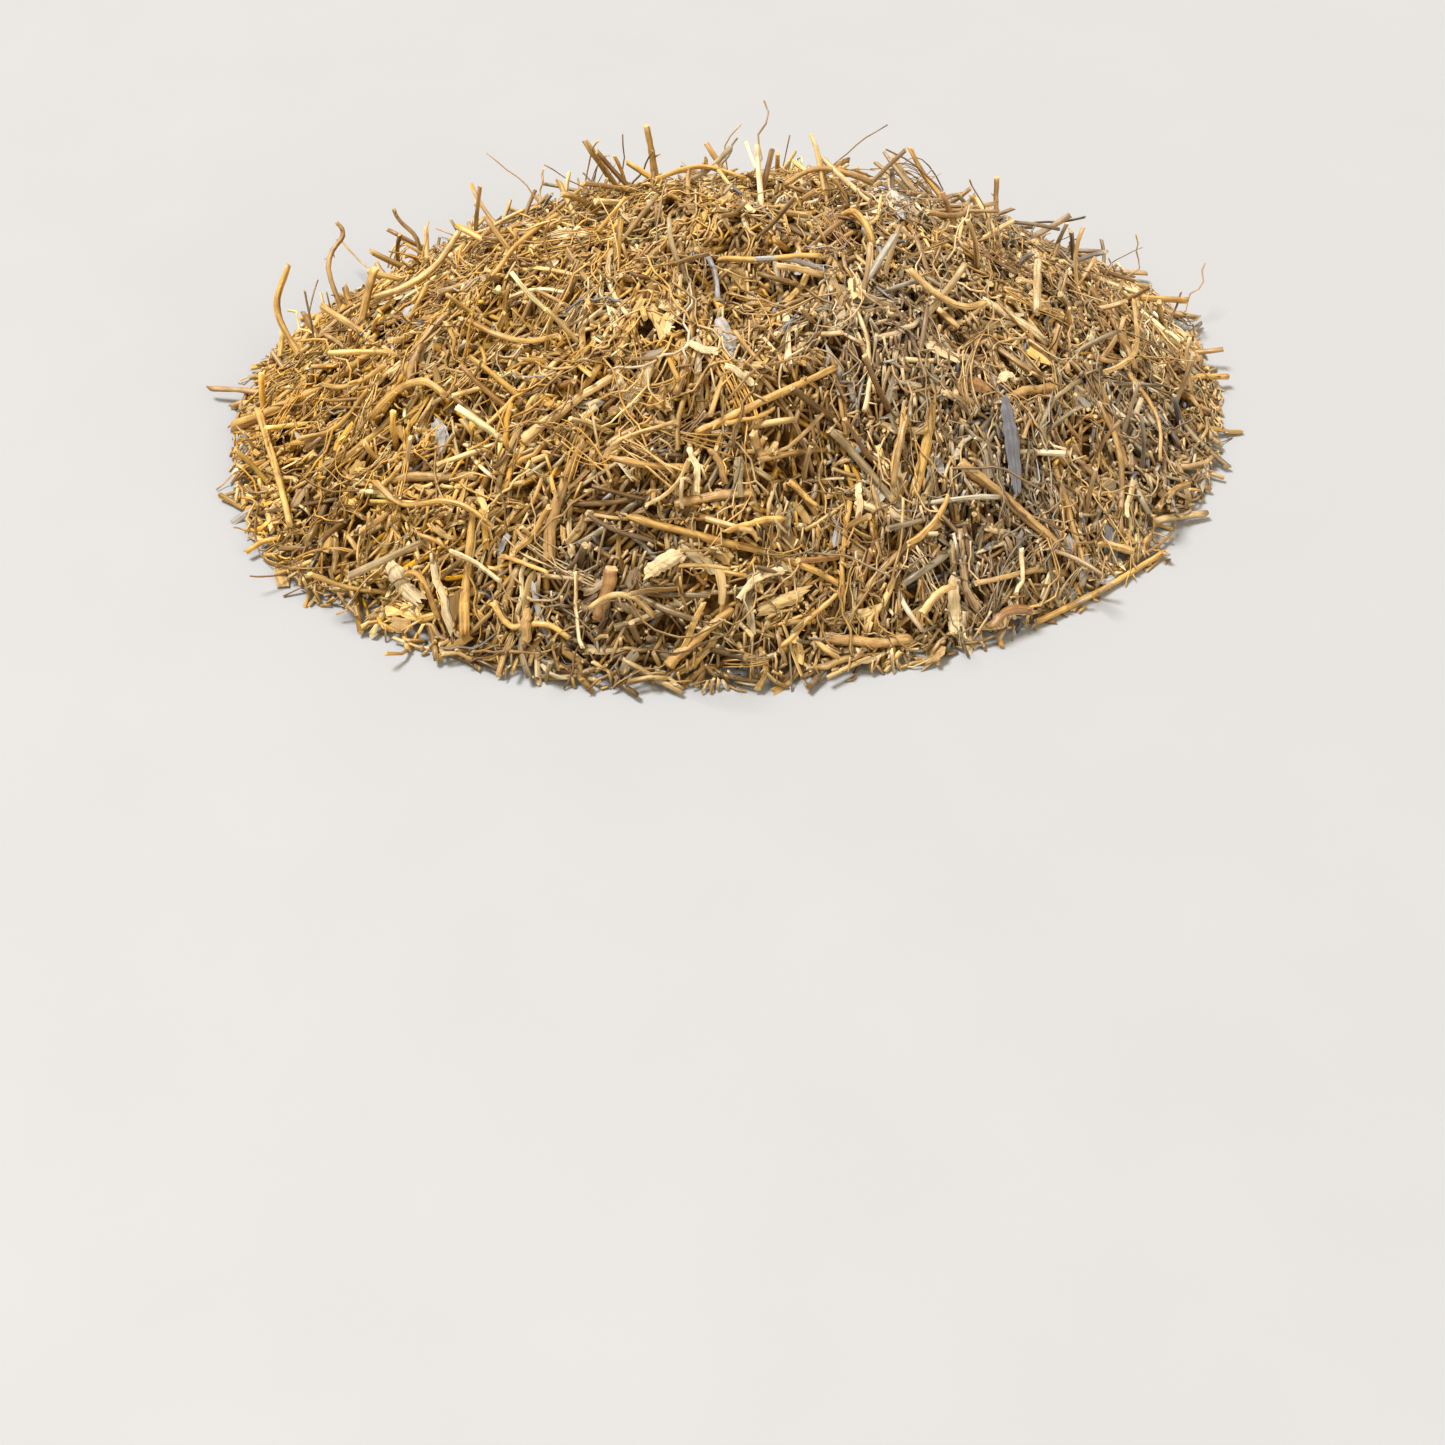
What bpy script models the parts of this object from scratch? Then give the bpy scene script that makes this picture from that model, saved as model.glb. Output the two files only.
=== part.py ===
"""A mound of dried, cut vetiver root, lying loose on a flat surface.

The mound is one bed of short cut roots, and the longer roots, forked roots, slivers and
flakes that lie on it are pieces of their own. Metres, +Z up, origin on the surface under the
mound's middle. The long side runs along X, and the front faces -Y.
"""

import math
import random

import bmesh
import bpy
import numpy as np
from mathutils import Matrix, Quaternion, Vector

MM = 0.001
SEED = 1874

# The mound. Its back half is a little shallower and squarer than its front half
LENGTH = 156 * MM
FRONT_DEPTH = 57.5 * MM
BACK_DEPTH = 50 * MM
HEIGHT = 35 * MM
FOOT_RIM = 0.8 * MM
FRONT_POWER = 2.05
BACK_POWER = 2.4
DOME_POWER = 2.25
FLARE_POWER = 1.27
SKEW = 0.06
LUMP_HEIGHT = 1.3 * MM
LUMP_LENGTH = 34 * MM
LUMP_PHASE = 0.7
LUMP_STRETCH = 1.2
CROSS_LUMP_SHARE = 0.6
CROSS_LUMP_WAY = (-1.1, 0.8)
CORE_SPOKES = 32
CORE_RINGS = 10

# The short cut roots of the bed
BED_ROOTS = 720
BED_SIDES = 3
BED_LENGTH = (7 * MM, 20 * MM)
BED_RADIUS = (0.5 * MM, 0.82 * MM)
BED_LIFT = (0, 9)
STEEP_LIFT = (16, 50)
STEEP_SHARE = 0.11
STEEP_LENGTH = 0.65
BED_SINK = 1.8 * MM
BED_TAPER = (0.72, 0.95)
FURTHEST_FOOT = 0.985
FURTHEST_TIP = 1.06
FREE_FROM = 0.3
TRIES = 60

# Room between pieces
BED_GAP = 0.12 * MM
LOOSE_GAP = 0.4 * MM
FLOOR_GAP = 0.25 * MM

# The pieces that lie on the bed
PATH_POINTS = 9
LIFT_STEP = 0.2 * MM
LEAST_UPRIGHT = 0.35
SLIVER_THICKNESS = 1.0 * MM
FLAKE_THICKNESS = 0.7 * MM
CHIP_THICKNESS = 1.1 * MM
PLATE_COLUMNS = 2
PLATE_ARCH = 0.12

# In the tables below a place is x, y and its height above the bed's core, in mm. A root's
# two diameters in mm are those of its thick and its thin end. The places run from one end to
# the other, and a piece is then shifted up or down until it just rests on the core.
LONG_ROOTS = [
    (1.6, 1.0, [(-80, -7, 1), (-67, -7, 0), (-55, -6, 0)]),
    (1.2, 0.9, [(-75, -8, 1), (-70, -21, 0), (-66, -32, 0)]),
    (1.5, 1.1, [(-48, -18, 0), (-47, -14, 1), (-43, -9, 1)]),
    (1.2, 0.9, [(-58, 8, 0), (-50, 9, 0), (-43, 14, 0)]),
    (1.5, 1.3, [(-50, -30, 0), (-43, -32, 0), (-37, -34, 0)]),
    (1.6, 0.9, [(-38, -52, 1), (-38, -45, 0), (-37, -38, 1)]),
    (1.7, 1.2, [(-26, -45, 0), (-25, -39, 0), (-21, -33, 0)]),
    (1.7, 1.0, [(-30, -32, 0), (-24, -29, 0), (-17, -25, 0)]),
    (1.3, 1.1, [(-14, -10, 0), (-11, -5, 0), (-7, 1, 1)]),
    (1.2, 1.0, [(-8, -28, 1), (-6, -20, 0), (-6, -12, 0)]),
    (1.3, 1.0, [(-5, -33, 0), (4, -30, 0), (15, -24, 1)]),
    (1.2, 0.9, [(-14, -42, 0), (-4, -44, 0), (6, -45, 0), (15, -48, 1)]),
    (1.3, 1.1, [(14, -31, 0), (17, -33, 0), (23, -38, 0)]),
    (1.1, 0.9, [(18, -49, 0), (23, -44, 0), (30, -39, 0)]),
    (1.5, 1.4, [(13, -53, 0), (19, -53, 0), (25, -52, 0)]),
    (1.6, 1.3, [(33, -32, 0), (40, -34, 0), (48, -37, 0)]),
    (1.1, 0.9, [(48, -27, 0), (50, -32, 0), (52, -38, 0)]),
    (1.4, 0.9, [(54, -9, 0), (57, -13, 0), (60, -22, 0)]),
    (1.3, 1.1, [(38, -6, 0), (43, -7, 0), (48, -9, 0)]),
    (1.6, 1.4, [(49, -16, 0), (45, -18, 0), (41, -21, 0)]),
    (1.0, 0.9, [(44, -47, 0), (54, -41, 0), (65, -33, 0)]),
    (1.4, 1.2, [(-8, -41, 0), (-3, -40, 0), (3, -39, 0)]),
    (1.5, 1.0, [(14, 38, 0), (4, 40, 0), (-6, 41, 0)]),
    (1.3, 1.0, [(-30, 40, 0), (-22, 43, 0), (-12, 44, 0)]),
    (1.6, 1.2, [(50, 21, 0), (53, 27, 0), (54, 34, 0)]),
    (1.4, 1.1, [(-62, 22, 0), (-56, 28, 0), (-49, 34, 0)]),
    (1.2, 0.9, [(20, 22, 0), (27, 27, 0), (34, 31, 0)]),
    (1.5, 1.1, [(58, 11, 0), (62, 5, 0), (64, -3, 0)]),
]
WIRY_ROOTS = [
    (0.9, 0.8, [(-18, -33, 0), (-14, -31, 0), (-10, -31, 0), (-7, -34, 0)]),
    (0.9, 0.8, [(-52, -32, 0), (-46, -37, 0), (-41, -38, 0), (-34, -42, 0)]),
    (0.9, 0.8, [(-34, -49, 0), (-31, -52, 0), (-28, -52, 0), (-23, -54, 0)]),
    (0.8, 0.8, [(18, -16, 1), (20, -21, 0), (19, -28, 1)]),
    (0.8, 0.8, [(-18, -4, 1), (-18, -11, 0), (-15, -18, 1)]),
    (1.0, 0.8, [(-61, -24, 0), (-55, -23, 0), (-50, -21, 0)]),
    (0.9, 0.8, [(-20, 33, 0), (-14, 36, 0), (-6, 35, 0)]),
    (0.9, 0.8, [(31, 41, 0), (22, 43, 0), (15, 46, 0)]),
]
# Stem, then the free end of the side root, which starts inside the stem
FORKED_ROOTS = [
    (1.6, 1.0, [(-9, -57, 0), (-5, -54, 0), (0, -51, 0)], (-4, -51, 3)),
    (1.5, 1.1, [(-44, 26, 0), (-36, 29, 0), (-28, 32, 0)], (-33, 35, 3)),
]
ROOT_BASES = [
    (2.0, 1.7, [(-17, -47, 0), (-18, -50, 0), (-19, -52, 0)]),
]
# Width at the middle and at the ends in mm, then the places of one end, middle and other end
SLIVERS = [
    (1.6, 1.2, [(29, -26, 1), (28, -31, 0), (26, -37, 0)]),
    (2.1, 1.5, [(-15, -29, 0), (-13, -26, 0), (-12, -23, 0)]),
    (2.1, 1.7, [(-50, -41, 0), (-48, -44, 0), (-46, -46, 0)]),
    (2.0, 1.3, [(-12, -48, 0), (-10, -47, 0), (-7, -46, 0)]),
    (1.8, 1.5, [(4, -51, 0), (7, -50, 0), (10, -49, 0)]),
    (1.9, 1.6, [(32, -45, 0), (32, -48, 0), (32, -50, 0)]),
    (1.9, 1.4, [(-1, 29, 0), (2, 32, 0), (5, 36, 0)]),
]
FLAKES = [
    (2.3, 1.1, [(40, -25, 2), (41, -29, 1), (42, -34, 0)]),
    (2.2, 1.2, [(-44, -25, 1), (-43, -27, 0), (-43, -29, 0)]),
    (3.0, 1.6, [(-28, 4, 0), (-25, 4, 0), (-22, 3, 0)]),
    (2.5, 1.4, [(-2, -17, 0), (-1, -20, 0), (0, -23, 0)]),
    (2.7, 1.5, [(-40, 34, 0), (-38, 37, 0), (-36, 39, 0)]),
]
BARK_CHIPS = [
    (2.6, 2.0, [(34, -21, 0), (36, -21, 0), (38, -21, 0)]),
]
# Roots that stand out of the bed: diameter in mm, then the place where they leave the core
# and the corners of the free part
STRAYS = [
    (1.3, [(-12, 27, 0), (-14, 31, 15)]),
    (1.0, [(-23, 27, 0), (-25, 29, 5)]),
    (1.0, [(-1, 28, 0), (-3, 30, 4)]),
    (1.0, [(9, 27, 0), (16, 30, 5)]),
    (1.1, [(13, 27, 0), (11, 28, 3)]),
    (1.0, [(45, 31, 0), (45, 35, 11)]),
    (1.1, [(44, 32, 0), (41, 35, 6)]),
    (1.3, [(64, 19, 0), (77, 20, 7)]),
    (1.2, [(-70, 6, 0), (-75, 12, 9), (-73, 17, 16)]),
    (1.4, [(-60, 1, 0), (-57, 9, 8)]),
    (0.9, [(-64, 13, 0), (-67, 19, 11), (-65, 24, 15), (-66, 25, 18)]),
    (0.8, [(-54, 24, 0), (-53, 26, 5), (-56, 28, 12), (-57, 29, 15)]),
    (0.9, [(-74, 1, 0), (-86, 3, 2)]),
    (1.2, [(-56, -2, 0), (-66, 7, 8)]),
    (1.1, [(73, 4, 0), (82, 6, 2)]),
    (1.0, [(-30, -48, 0), (-33, -57, 1)]),
    (0.9, [(40, 38, 0), (44, 48, 2)]),
    (1.1, [(-20, 43, 0), (-25, 51, 1)]),
    (1.0, [(-68, 10, 0), (-71, 13, 7)]),
    (1.1, [(-63, 15, 0), (-65, 19, 6)]),
    (1.0, [(-57, 19, 0), (-60, 23, 6)]),
    (0.9, [(-72, 3, 0), (-76, 8, 5)]),
    (1.0, [(-50, 24, 0), (-53, 27, 5)]),
]
STRAY_SINK = 4 * MM
STRAY_SIDES = 5
STRAY_TAPER = 0.9
STRAY_OVERLAP = 0.6

# Base colours
TAN = (0.48, 0.33, 0.16)
GOLDEN = (0.60, 0.40, 0.16)
PALE = (0.75, 0.60, 0.34)
GREY = (0.42, 0.39, 0.34)
RED_BROWN = (0.36, 0.16, 0.07)


def clear_scene():
    """Remove whatever the file held before."""
    for obj in list(bpy.data.objects):
        bpy.data.objects.remove(obj, do_unlink=True)


def collection(name):
    """A new collection in the scene."""
    made = bpy.data.collections.new(name)
    bpy.context.scene.collection.children.link(made)
    return made


def root_material(name, colour, roughness):
    """A plain Principled material for one kind of piece."""
    made = bpy.data.materials.new(name)
    made.use_nodes = True
    shader = made.node_tree.nodes["Principled BSDF"]
    shader.inputs["Base Color"].default_value = (*colour, 1)
    shader.inputs["Roughness"].default_value = roughness
    shader.inputs["Metallic"].default_value = 0
    return made


def edge_share(x, y):
    """How far (x, y) lies out from the mound's middle: 0 there, and 1 at its foot."""
    forward = SKEW * x - y
    depth, power = (FRONT_DEPTH, FRONT_POWER) if forward > 0 else (BACK_DEPTH, BACK_POWER)
    across = abs(2 * x / LENGTH) ** power
    along = abs(forward / depth) ** power
    return (across + along) ** (1 / power)


def core_height(x, y):
    """Height of the bed's core over (x, y): a flared dome with low lumps, and 0 beyond it."""
    share = edge_share(x, y)
    if share > 1:
        return 0.0
    dome = HEIGHT * (1 - share**DOME_POWER) ** FLARE_POWER
    turn = 2 * math.pi / LUMP_LENGTH
    lumps = math.sin(turn * x + LUMP_PHASE) * math.cos(LUMP_STRETCH * turn * y)
    cross = turn * (CROSS_LUMP_WAY[0] * x + CROSS_LUMP_WAY[1] * y)
    lumps += CROSS_LUMP_SHARE * math.sin(cross)
    return FOOT_RIM + dome + LUMP_HEIGHT * lumps * (1 - share**2)


def core_normal(x, y):
    """Outward normal of the core's surface over (x, y)."""
    step = 0.5 * MM
    slope_x = (core_height(x + step, y) - core_height(x - step, y)) / (2 * step)
    slope_y = (core_height(x, y + step) - core_height(x, y - step)) / (2 * step)
    return Vector((-slope_x, -slope_y, 1)).normalized()


def place(x, y, lift):
    """The point at x, y and a height above the core, all in mm."""
    x, y = x * MM, y * MM
    return Vector((x, y, core_height(x, y) + lift * MM))


def segment_gaps(start, end, starts, ends):
    """Distances from one straight segment to each of several."""
    one, others = end - start, ends - starts
    between = start - starts
    a = one @ one
    b = others @ one
    c = between @ one
    e = np.einsum("ij,ij->i", others, others)
    f = np.einsum("ij,ij->i", others, between)
    along = np.clip((b * f - c * e) / np.maximum(a * e - b * b, 1e-18), 0, 1)
    other_along = np.clip((b * along + f) / e, 0, 1)
    along = np.clip((b * other_along - c) / a, 0, 1)
    near = start + along[:, None] * one
    far = starts + other_along[:, None] * others
    return np.linalg.norm(near - far, axis=1)


class Placed:
    """The straight stretches placed so far, each with its radius."""

    def __init__(self):
        self.starts = np.zeros((0, 3))
        self.ends = np.zeros((0, 3))
        self.radii = np.zeros(0)

    def add(self, path, radius):
        for start, end in zip(path, path[1:]):
            self.starts = np.vstack([self.starts, np.array(start)])
            self.ends = np.vstack([self.ends, np.array(end)])
            self.radii = np.append(self.radii, radius)

    def clear_of(self, path, radius, gap):
        """Whether a path keeps this gap to every stretch placed."""
        for start, end in zip(path, path[1:]):
            found = segment_gaps(
                np.array(start), np.array(end), self.starts, self.ends
            )
            if (found < self.radii + radius + gap).any():
                return False
        return True


def smooth_path(anchors):
    """Points along the smooth curve through all the anchors (Lagrange's polynomial)."""
    last = len(anchors) - 1
    path = []
    for step in range(PATH_POINTS):
        t = last * step / (PATH_POINTS - 1)
        point = Vector((0, 0, 0))
        for i, anchor in enumerate(anchors):
            weight = 1.0
            for j in range(len(anchors)):
                if j != i:
                    weight *= (t - j) / (i - j)
            point += anchor * weight
        path.append(point)
    return path


def rested(path, radius):
    """The path shifted up or down until it just rests on the core, and above the floor."""
    rise = -math.inf
    for p in path:
        upright = max(LEAST_UPRIGHT, core_normal(p.x, p.y).z)
        rise = max(rise, core_height(p.x, p.y) + (radius + LOOSE_GAP) / upright - p.z)
    lowest = radius + FLOOR_GAP
    return [Vector((p.x, p.y, max(p.z + rise, lowest))) for p in path]


def lying_path(places, radius, placed):
    """Centre line through its places, resting on the core or on the pieces placed before."""
    path = rested(smooth_path([place(*p) for p in places]), radius)
    while not placed.clear_of(path, radius, LOOSE_GAP):
        path = [p + Vector((0, 0, LIFT_STEP)) for p in path]
    placed.add(path, radius)
    return path


def spot_on_bed(rng):
    """A place drawn evenly over the mound's plan."""
    while True:
        x = rng.uniform(-LENGTH / 2, LENGTH / 2)
        y = rng.uniform(-FRONT_DEPTH, BACK_DEPTH) + SKEW * x
        if edge_share(x, y) < FURTHEST_FOOT:
            return x, y


def bed_root(rng):
    """One drawn bed root: its sunk foot, its tip, its two radii and its turn."""
    x, y = spot_on_bed(rng)
    normal = core_normal(x, y)
    heading = rng.uniform(0, 2 * math.pi)
    flat = Vector((math.cos(heading), math.sin(heading), 0))
    along = (flat - normal * flat.dot(normal)).normalized()
    steep = rng.random() < STEEP_SHARE
    lift = math.radians(rng.uniform(*(STEEP_LIFT if steep else BED_LIFT)))
    way = along * math.cos(lift) + normal * math.sin(lift)
    length = rng.uniform(*BED_LENGTH) * (STEEP_LENGTH if steep else 1)
    radius = rng.uniform(*BED_RADIUS)
    tip_radius = radius * rng.uniform(*BED_TAPER)
    leaves = Vector((x, y, core_height(x, y)))
    foot = leaves - (normal + way) * BED_SINK
    tip = leaves + way * length
    lowest = radius + FLOOR_GAP
    foot.z = max(foot.z, lowest)
    tip.z = max(tip.z, lowest)
    return foot, tip, radius, tip_radius, rng.uniform(0, 360)


def bed_roots(placed):
    """The bed's cut roots, clear of each other outside the core and of the loose pieces."""
    rng = random.Random(SEED)
    bed = Placed()
    made = []
    for _ in range(BED_ROOTS):
        for _ in range(TRIES):
            root = bed_root(rng)
            foot, tip, radius = root[:3]
            if core_height(foot.x, foot.y) < foot.z + radius:
                continue
            if edge_share(tip.x, tip.y) > FURTHEST_TIP:
                continue
            if not placed.clear_of([foot, tip], radius, LOOSE_GAP):
                continue
            free = [foot.lerp(tip, FREE_FROM), tip]
            if bed.clear_of(free, radius, BED_GAP):
                bed.add(free, radius)
                made.append(root)
                break
    return made


def new_object(name, mesh, home, material):
    """An object for a mesh, in a collection, with its material."""
    obj = bpy.data.objects.new(name, mesh)
    home.objects.link(obj)
    mesh.materials.append(material)
    return obj


def mesh_from(bm, name):
    """A mesh datablock from a bmesh, which is then freed."""
    mesh = bpy.data.meshes.new(name)
    bm.to_mesh(mesh)
    bm.free()
    return mesh


def core_mesh():
    """The bed's core: the top half of a sphere drawn out to the mound, on a flat base."""
    bm = bmesh.new()
    bmesh.ops.create_uvsphere(
        bm, u_segments=CORE_SPOKES, v_segments=2 * CORE_RINGS, radius=1
    )
    lower = [v for v in bm.verts if v.co.z < -0.01]
    bmesh.ops.delete(bm, geom=lower, context="VERTS")
    for v in bm.verts:
        share = math.acos(min(1, v.co.z)) / (math.pi / 2)
        around = math.atan2(v.co.y, v.co.x)
        x, y = math.cos(around), math.sin(around)
        reach = min(share, 0.9999) / edge_share(x, y)
        v.co = (x * reach, y * reach, core_height(x * reach, y * reach))
    rim = [e for e in bm.edges if e.is_boundary]
    dropped = bmesh.ops.extrude_edge_only(bm, edges=rim)["geom"]
    for v in dropped:
        if isinstance(v, bmesh.types.BMVert):
            v.co.z = 0
    bmesh.ops.contextual_create(bm, geom=[e for e in bm.edges if e.is_boundary])
    bmesh.ops.recalc_face_normals(bm, faces=bm.faces)
    return mesh_from(bm, "cut_root_heap")


def stick_mesh(start, end, radius, tip_radius, spin, sides):
    """A straight cut root as a slim cone frustum from start to end."""
    way = end - start
    turn = way.to_track_quat("Z", "Y") @ Quaternion((0, 0, 1), math.radians(spin))
    bm = bmesh.new()
    bmesh.ops.create_cone(
        bm,
        cap_ends=True,
        segments=sides,
        radius1=radius,
        radius2=tip_radius,
        depth=way.length,
        matrix=Matrix.Translation((start + end) / 2) @ turn.to_matrix().to_4x4(),
    )
    return mesh_from(bm, "stick")


def join_into(target, pieces):
    """Join a collection of pieces into the target with one Boolean union, and drop them."""
    union = target.modifiers.new("Join the cut roots", "BOOLEAN")
    union.operation = "UNION"
    union.operand_type = "COLLECTION"
    union.collection = pieces
    union.solver = "MANIFOLD"
    graph = bpy.context.evaluated_depsgraph_get()
    joined = bpy.data.meshes.new_from_object(target.evaluated_get(graph))
    target.modifiers.clear()
    target.data = joined
    for obj in list(pieces.objects):
        bpy.data.objects.remove(obj, do_unlink=True)
    bpy.data.collections.remove(pieces)


def stray_sticks(placed):
    """Start, end and radii of each straight stretch of the roots that stand out of the bed."""
    sticks = []
    for diameter, places in STRAYS:
        radius = diameter * MM / 2
        corners = [place(*p) for p in places]
        corners[0] -= (corners[1] - corners[0]).normalized() * STRAY_SINK
        corners[0].z = max(corners[0].z, radius + FLOOR_GAP)
        placed.add(corners, radius)
        for start, end in zip(corners, corners[1:]):
            tip_radius = radius * STRAY_TAPER
            overlap = (end - start).normalized() * radius * STRAY_OVERLAP
            sticks.append((start - overlap, end, radius, tip_radius))
            radius = tip_radius
    return sticks


def make_bed(home, material, strays, placed):
    """The bed: its core, with the strays and the cut roots joined to it."""
    bed = new_object("cut_root_heap", core_mesh(), home, material)
    pieces = collection("Cut roots of the bed")
    for start, end, radius, tip_radius in strays:
        mesh = stick_mesh(start, end, radius, tip_radius, 0, STRAY_SIDES)
        new_object("stray", mesh, pieces, material)
    for foot, tip, radius, tip_radius, spin in bed_roots(placed):
        mesh = stick_mesh(foot, tip, radius, tip_radius, spin, BED_SIDES)
        new_object("bed_root", mesh, pieces, material)
    join_into(bed, pieces)


def tube(name, path, radii, home, material):
    """A root as a bevelled curve through its points, with its ends cut square."""
    curve = bpy.data.curves.new(name, "CURVE")
    curve.dimensions = "3D"
    curve.bevel_depth = 1
    curve.bevel_resolution = 1
    curve.use_fill_caps = True
    spline = curve.splines.new("POLY")
    spline.points.add(len(path) - 1)
    for point, spot, radius in zip(spline.points, path, radii):
        point.co = (*spot, 1)
        point.radius = radius
    obj = bpy.data.objects.new(name, curve)
    home.objects.link(obj)
    curve.materials.append(material)
    return obj


def tapered(thick, thin, count):
    """Radii in metres from the thick end to the thin one, from diameters in mm."""
    return [MM / 2 * (thick + (thin - thick) * i / (count - 1)) for i in range(count)]


def make_roots(kind, table, home, material, placed):
    """The roots of one table, each a piece of its own."""
    for number, (thick, thin, places) in enumerate(table, 1):
        path = lying_path(places, thick * MM / 2, placed)
        radii = tapered(thick, thin, len(path))
        tube(f"{kind}_{number:02d}", path, radii, home, material)


def make_plates(kind, table, thickness, home, material, placed):
    """The slivers or flakes of one table: thin plates, arched across and narrower at the ends."""
    for number, (wide, narrow, places) in enumerate(table, 1):
        path = lying_path(places, wide * MM / 2, placed)
        middle = path[len(path) // 2]
        normal = core_normal(middle.x, middle.y)
        down = normal * ((wide * MM - thickness) / 2)
        side = normal.cross(path[-1] - path[0]).normalized()
        rows = (len(path) - 1) // 2
        bm = bmesh.new()
        bmesh.ops.create_grid(bm, x_segments=rows, y_segments=PLATE_COLUMNS, size=1)
        for v in bm.verts:
            along, across = v.co.x, v.co.y
            spot = path[round(along * rows) + rows]
            half = (wide + (narrow - wide) * abs(along) ** 3) * MM / 2
            rise = normal * (PLATE_ARCH * half * (1 - across**2))
            v.co = spot - down + side * (half * across) + rise
        name = f"{kind}_{number:02d}"
        plate = new_object(name, mesh_from(bm, name), home, material)
        solid = plate.modifiers.new("Thickness", "SOLIDIFY")
        solid.thickness = thickness
        solid.offset = 0


def mesh_of(obj):
    """A curve's evaluated mesh with its caps welded on. The curve is then removed."""
    graph = bpy.context.evaluated_depsgraph_get()
    mesh = bpy.data.meshes.new_from_object(obj.evaluated_get(graph))
    bm = bmesh.new()
    bm.from_mesh(mesh)
    bmesh.ops.remove_doubles(bm, verts=bm.verts, dist=0.00001)
    bpy.data.meshes.remove(mesh)
    bpy.data.objects.remove(obj, do_unlink=True)
    return mesh_from(bm, "root")


def make_forks(home, material, placed):
    """The forked roots: a stem and its side root, joined as one piece."""
    for number, (thick, thin, places, side_end) in enumerate(FORKED_ROOTS, 1):
        path = lying_path(places, thick * MM / 2, placed)
        stem = tube("stem", path, tapered(thick, thin, len(path)), home, material)
        start = path[len(path) // 4]
        twig = [start.lerp(place(*side_end), i / 4) for i in range(5)]
        placed.add(twig, thin * MM / 2)
        side = tube("side", twig, tapered(thin, thin * 0.8, 5), home, material)
        name = f"forked_root_{number:02d}"
        joined = new_object(name, mesh_of(stem), home, material)
        pieces = collection("Side root")
        new_object("side_root", mesh_of(side), pieces, material)
        join_into(joined, pieces)


def main():
    clear_scene()
    home = collection("Vetiver root")
    golden = root_material("Golden cut root", GOLDEN, 0.6)
    tan = root_material("Tan cut root", TAN, 0.75)
    pale = root_material("Pale split wood", PALE, 0.75)
    grey = root_material("Grey papery bark", GREY, 0.65)
    red_brown = root_material("Red-brown bark", RED_BROWN, 0.7)
    placed = Placed()
    strays = stray_sticks(placed)
    make_forks(home, golden, placed)
    make_roots("long_root", LONG_ROOTS, home, golden, placed)
    make_roots("wiry_root", WIRY_ROOTS, home, golden, placed)
    make_roots("root_base", ROOT_BASES, home, red_brown, placed)
    make_plates("split_sliver", SLIVERS, SLIVER_THICKNESS, home, pale, placed)
    make_plates("bark_flake", FLAKES, FLAKE_THICKNESS, home, grey, placed)
    make_plates("bark_chip", BARK_CHIPS, CHIP_THICKNESS, home, red_brown, placed)
    make_bed(home, tan, strays, placed)


main()
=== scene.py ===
"""The looks of a mound of dried, cut vetiver root that lies on a pale surface.

The bed's roots and the pieces that lie on it are placed by the same rules as in the model.
Finer pieces are then laid between and over them, one by one, each at rest on what lies under
it. The model's rules are in metres, and the laying of the finer pieces is in millimetres.
"""

import math
import random
from collections import namedtuple

import bpy
import numpy as np
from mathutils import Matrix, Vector

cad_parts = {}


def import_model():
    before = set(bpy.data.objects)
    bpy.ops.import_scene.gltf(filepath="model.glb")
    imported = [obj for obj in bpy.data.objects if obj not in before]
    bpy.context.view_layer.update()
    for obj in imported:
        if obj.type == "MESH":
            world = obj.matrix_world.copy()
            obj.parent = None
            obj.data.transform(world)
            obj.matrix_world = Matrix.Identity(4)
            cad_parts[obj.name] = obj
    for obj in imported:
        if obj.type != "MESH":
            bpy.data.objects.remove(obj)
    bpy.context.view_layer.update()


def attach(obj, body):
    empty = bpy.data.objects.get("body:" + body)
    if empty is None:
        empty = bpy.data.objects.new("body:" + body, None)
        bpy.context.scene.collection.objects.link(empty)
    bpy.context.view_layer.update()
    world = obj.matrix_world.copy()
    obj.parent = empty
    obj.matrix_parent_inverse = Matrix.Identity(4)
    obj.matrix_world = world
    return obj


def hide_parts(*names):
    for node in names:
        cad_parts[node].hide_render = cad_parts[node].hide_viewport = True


MM = 0.001
SEED = 1874

# The mound
LENGTH = 156 * MM
FRONT_DEPTH = 57.5 * MM
BACK_DEPTH = 50 * MM
HEIGHT = 35 * MM
FOOT_RIM = 0.8 * MM
FRONT_POWER = 2.05
BACK_POWER = 2.4
DOME_POWER = 2.25
FLARE_POWER = 1.27
SKEW = 0.06
LUMP_HEIGHT = 1.3 * MM
LUMP_LENGTH = 34 * MM
LUMP_PHASE = 0.7
LUMP_STRETCH = 1.2
CROSS_LUMP_SHARE = 0.6
CROSS_LUMP_WAY = (-1.1, 0.8)

# The short cut roots of the bed
BED_ROOTS = 720
BED_LENGTH = (7 * MM, 20 * MM)
BED_RADIUS = (0.5 * MM, 0.82 * MM)
BED_LIFT = (0, 9)
STEEP_LIFT = (16, 50)
STEEP_SHARE = 0.11
STEEP_LENGTH = 0.65
BED_SINK = 1.8 * MM
BED_TAPER = (0.72, 0.95)
FURTHEST_FOOT = 0.985
FURTHEST_TIP = 1.06
FREE_FROM = 0.3
TRIES = 60

# Room between pieces
BED_GAP = 0.12 * MM
LOOSE_GAP = 0.4 * MM
FLOOR_GAP = 0.25 * MM

# The pieces that lie on the bed
PATH_POINTS = 9
LIFT_STEP = 0.2 * MM
LEAST_UPRIGHT = 0.35
SLIVER_THICKNESS = 1.0 * MM
FLAKE_THICKNESS = 0.7 * MM
CHIP_THICKNESS = 1.1 * MM
PLATE_ARCH = 0.12

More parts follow.
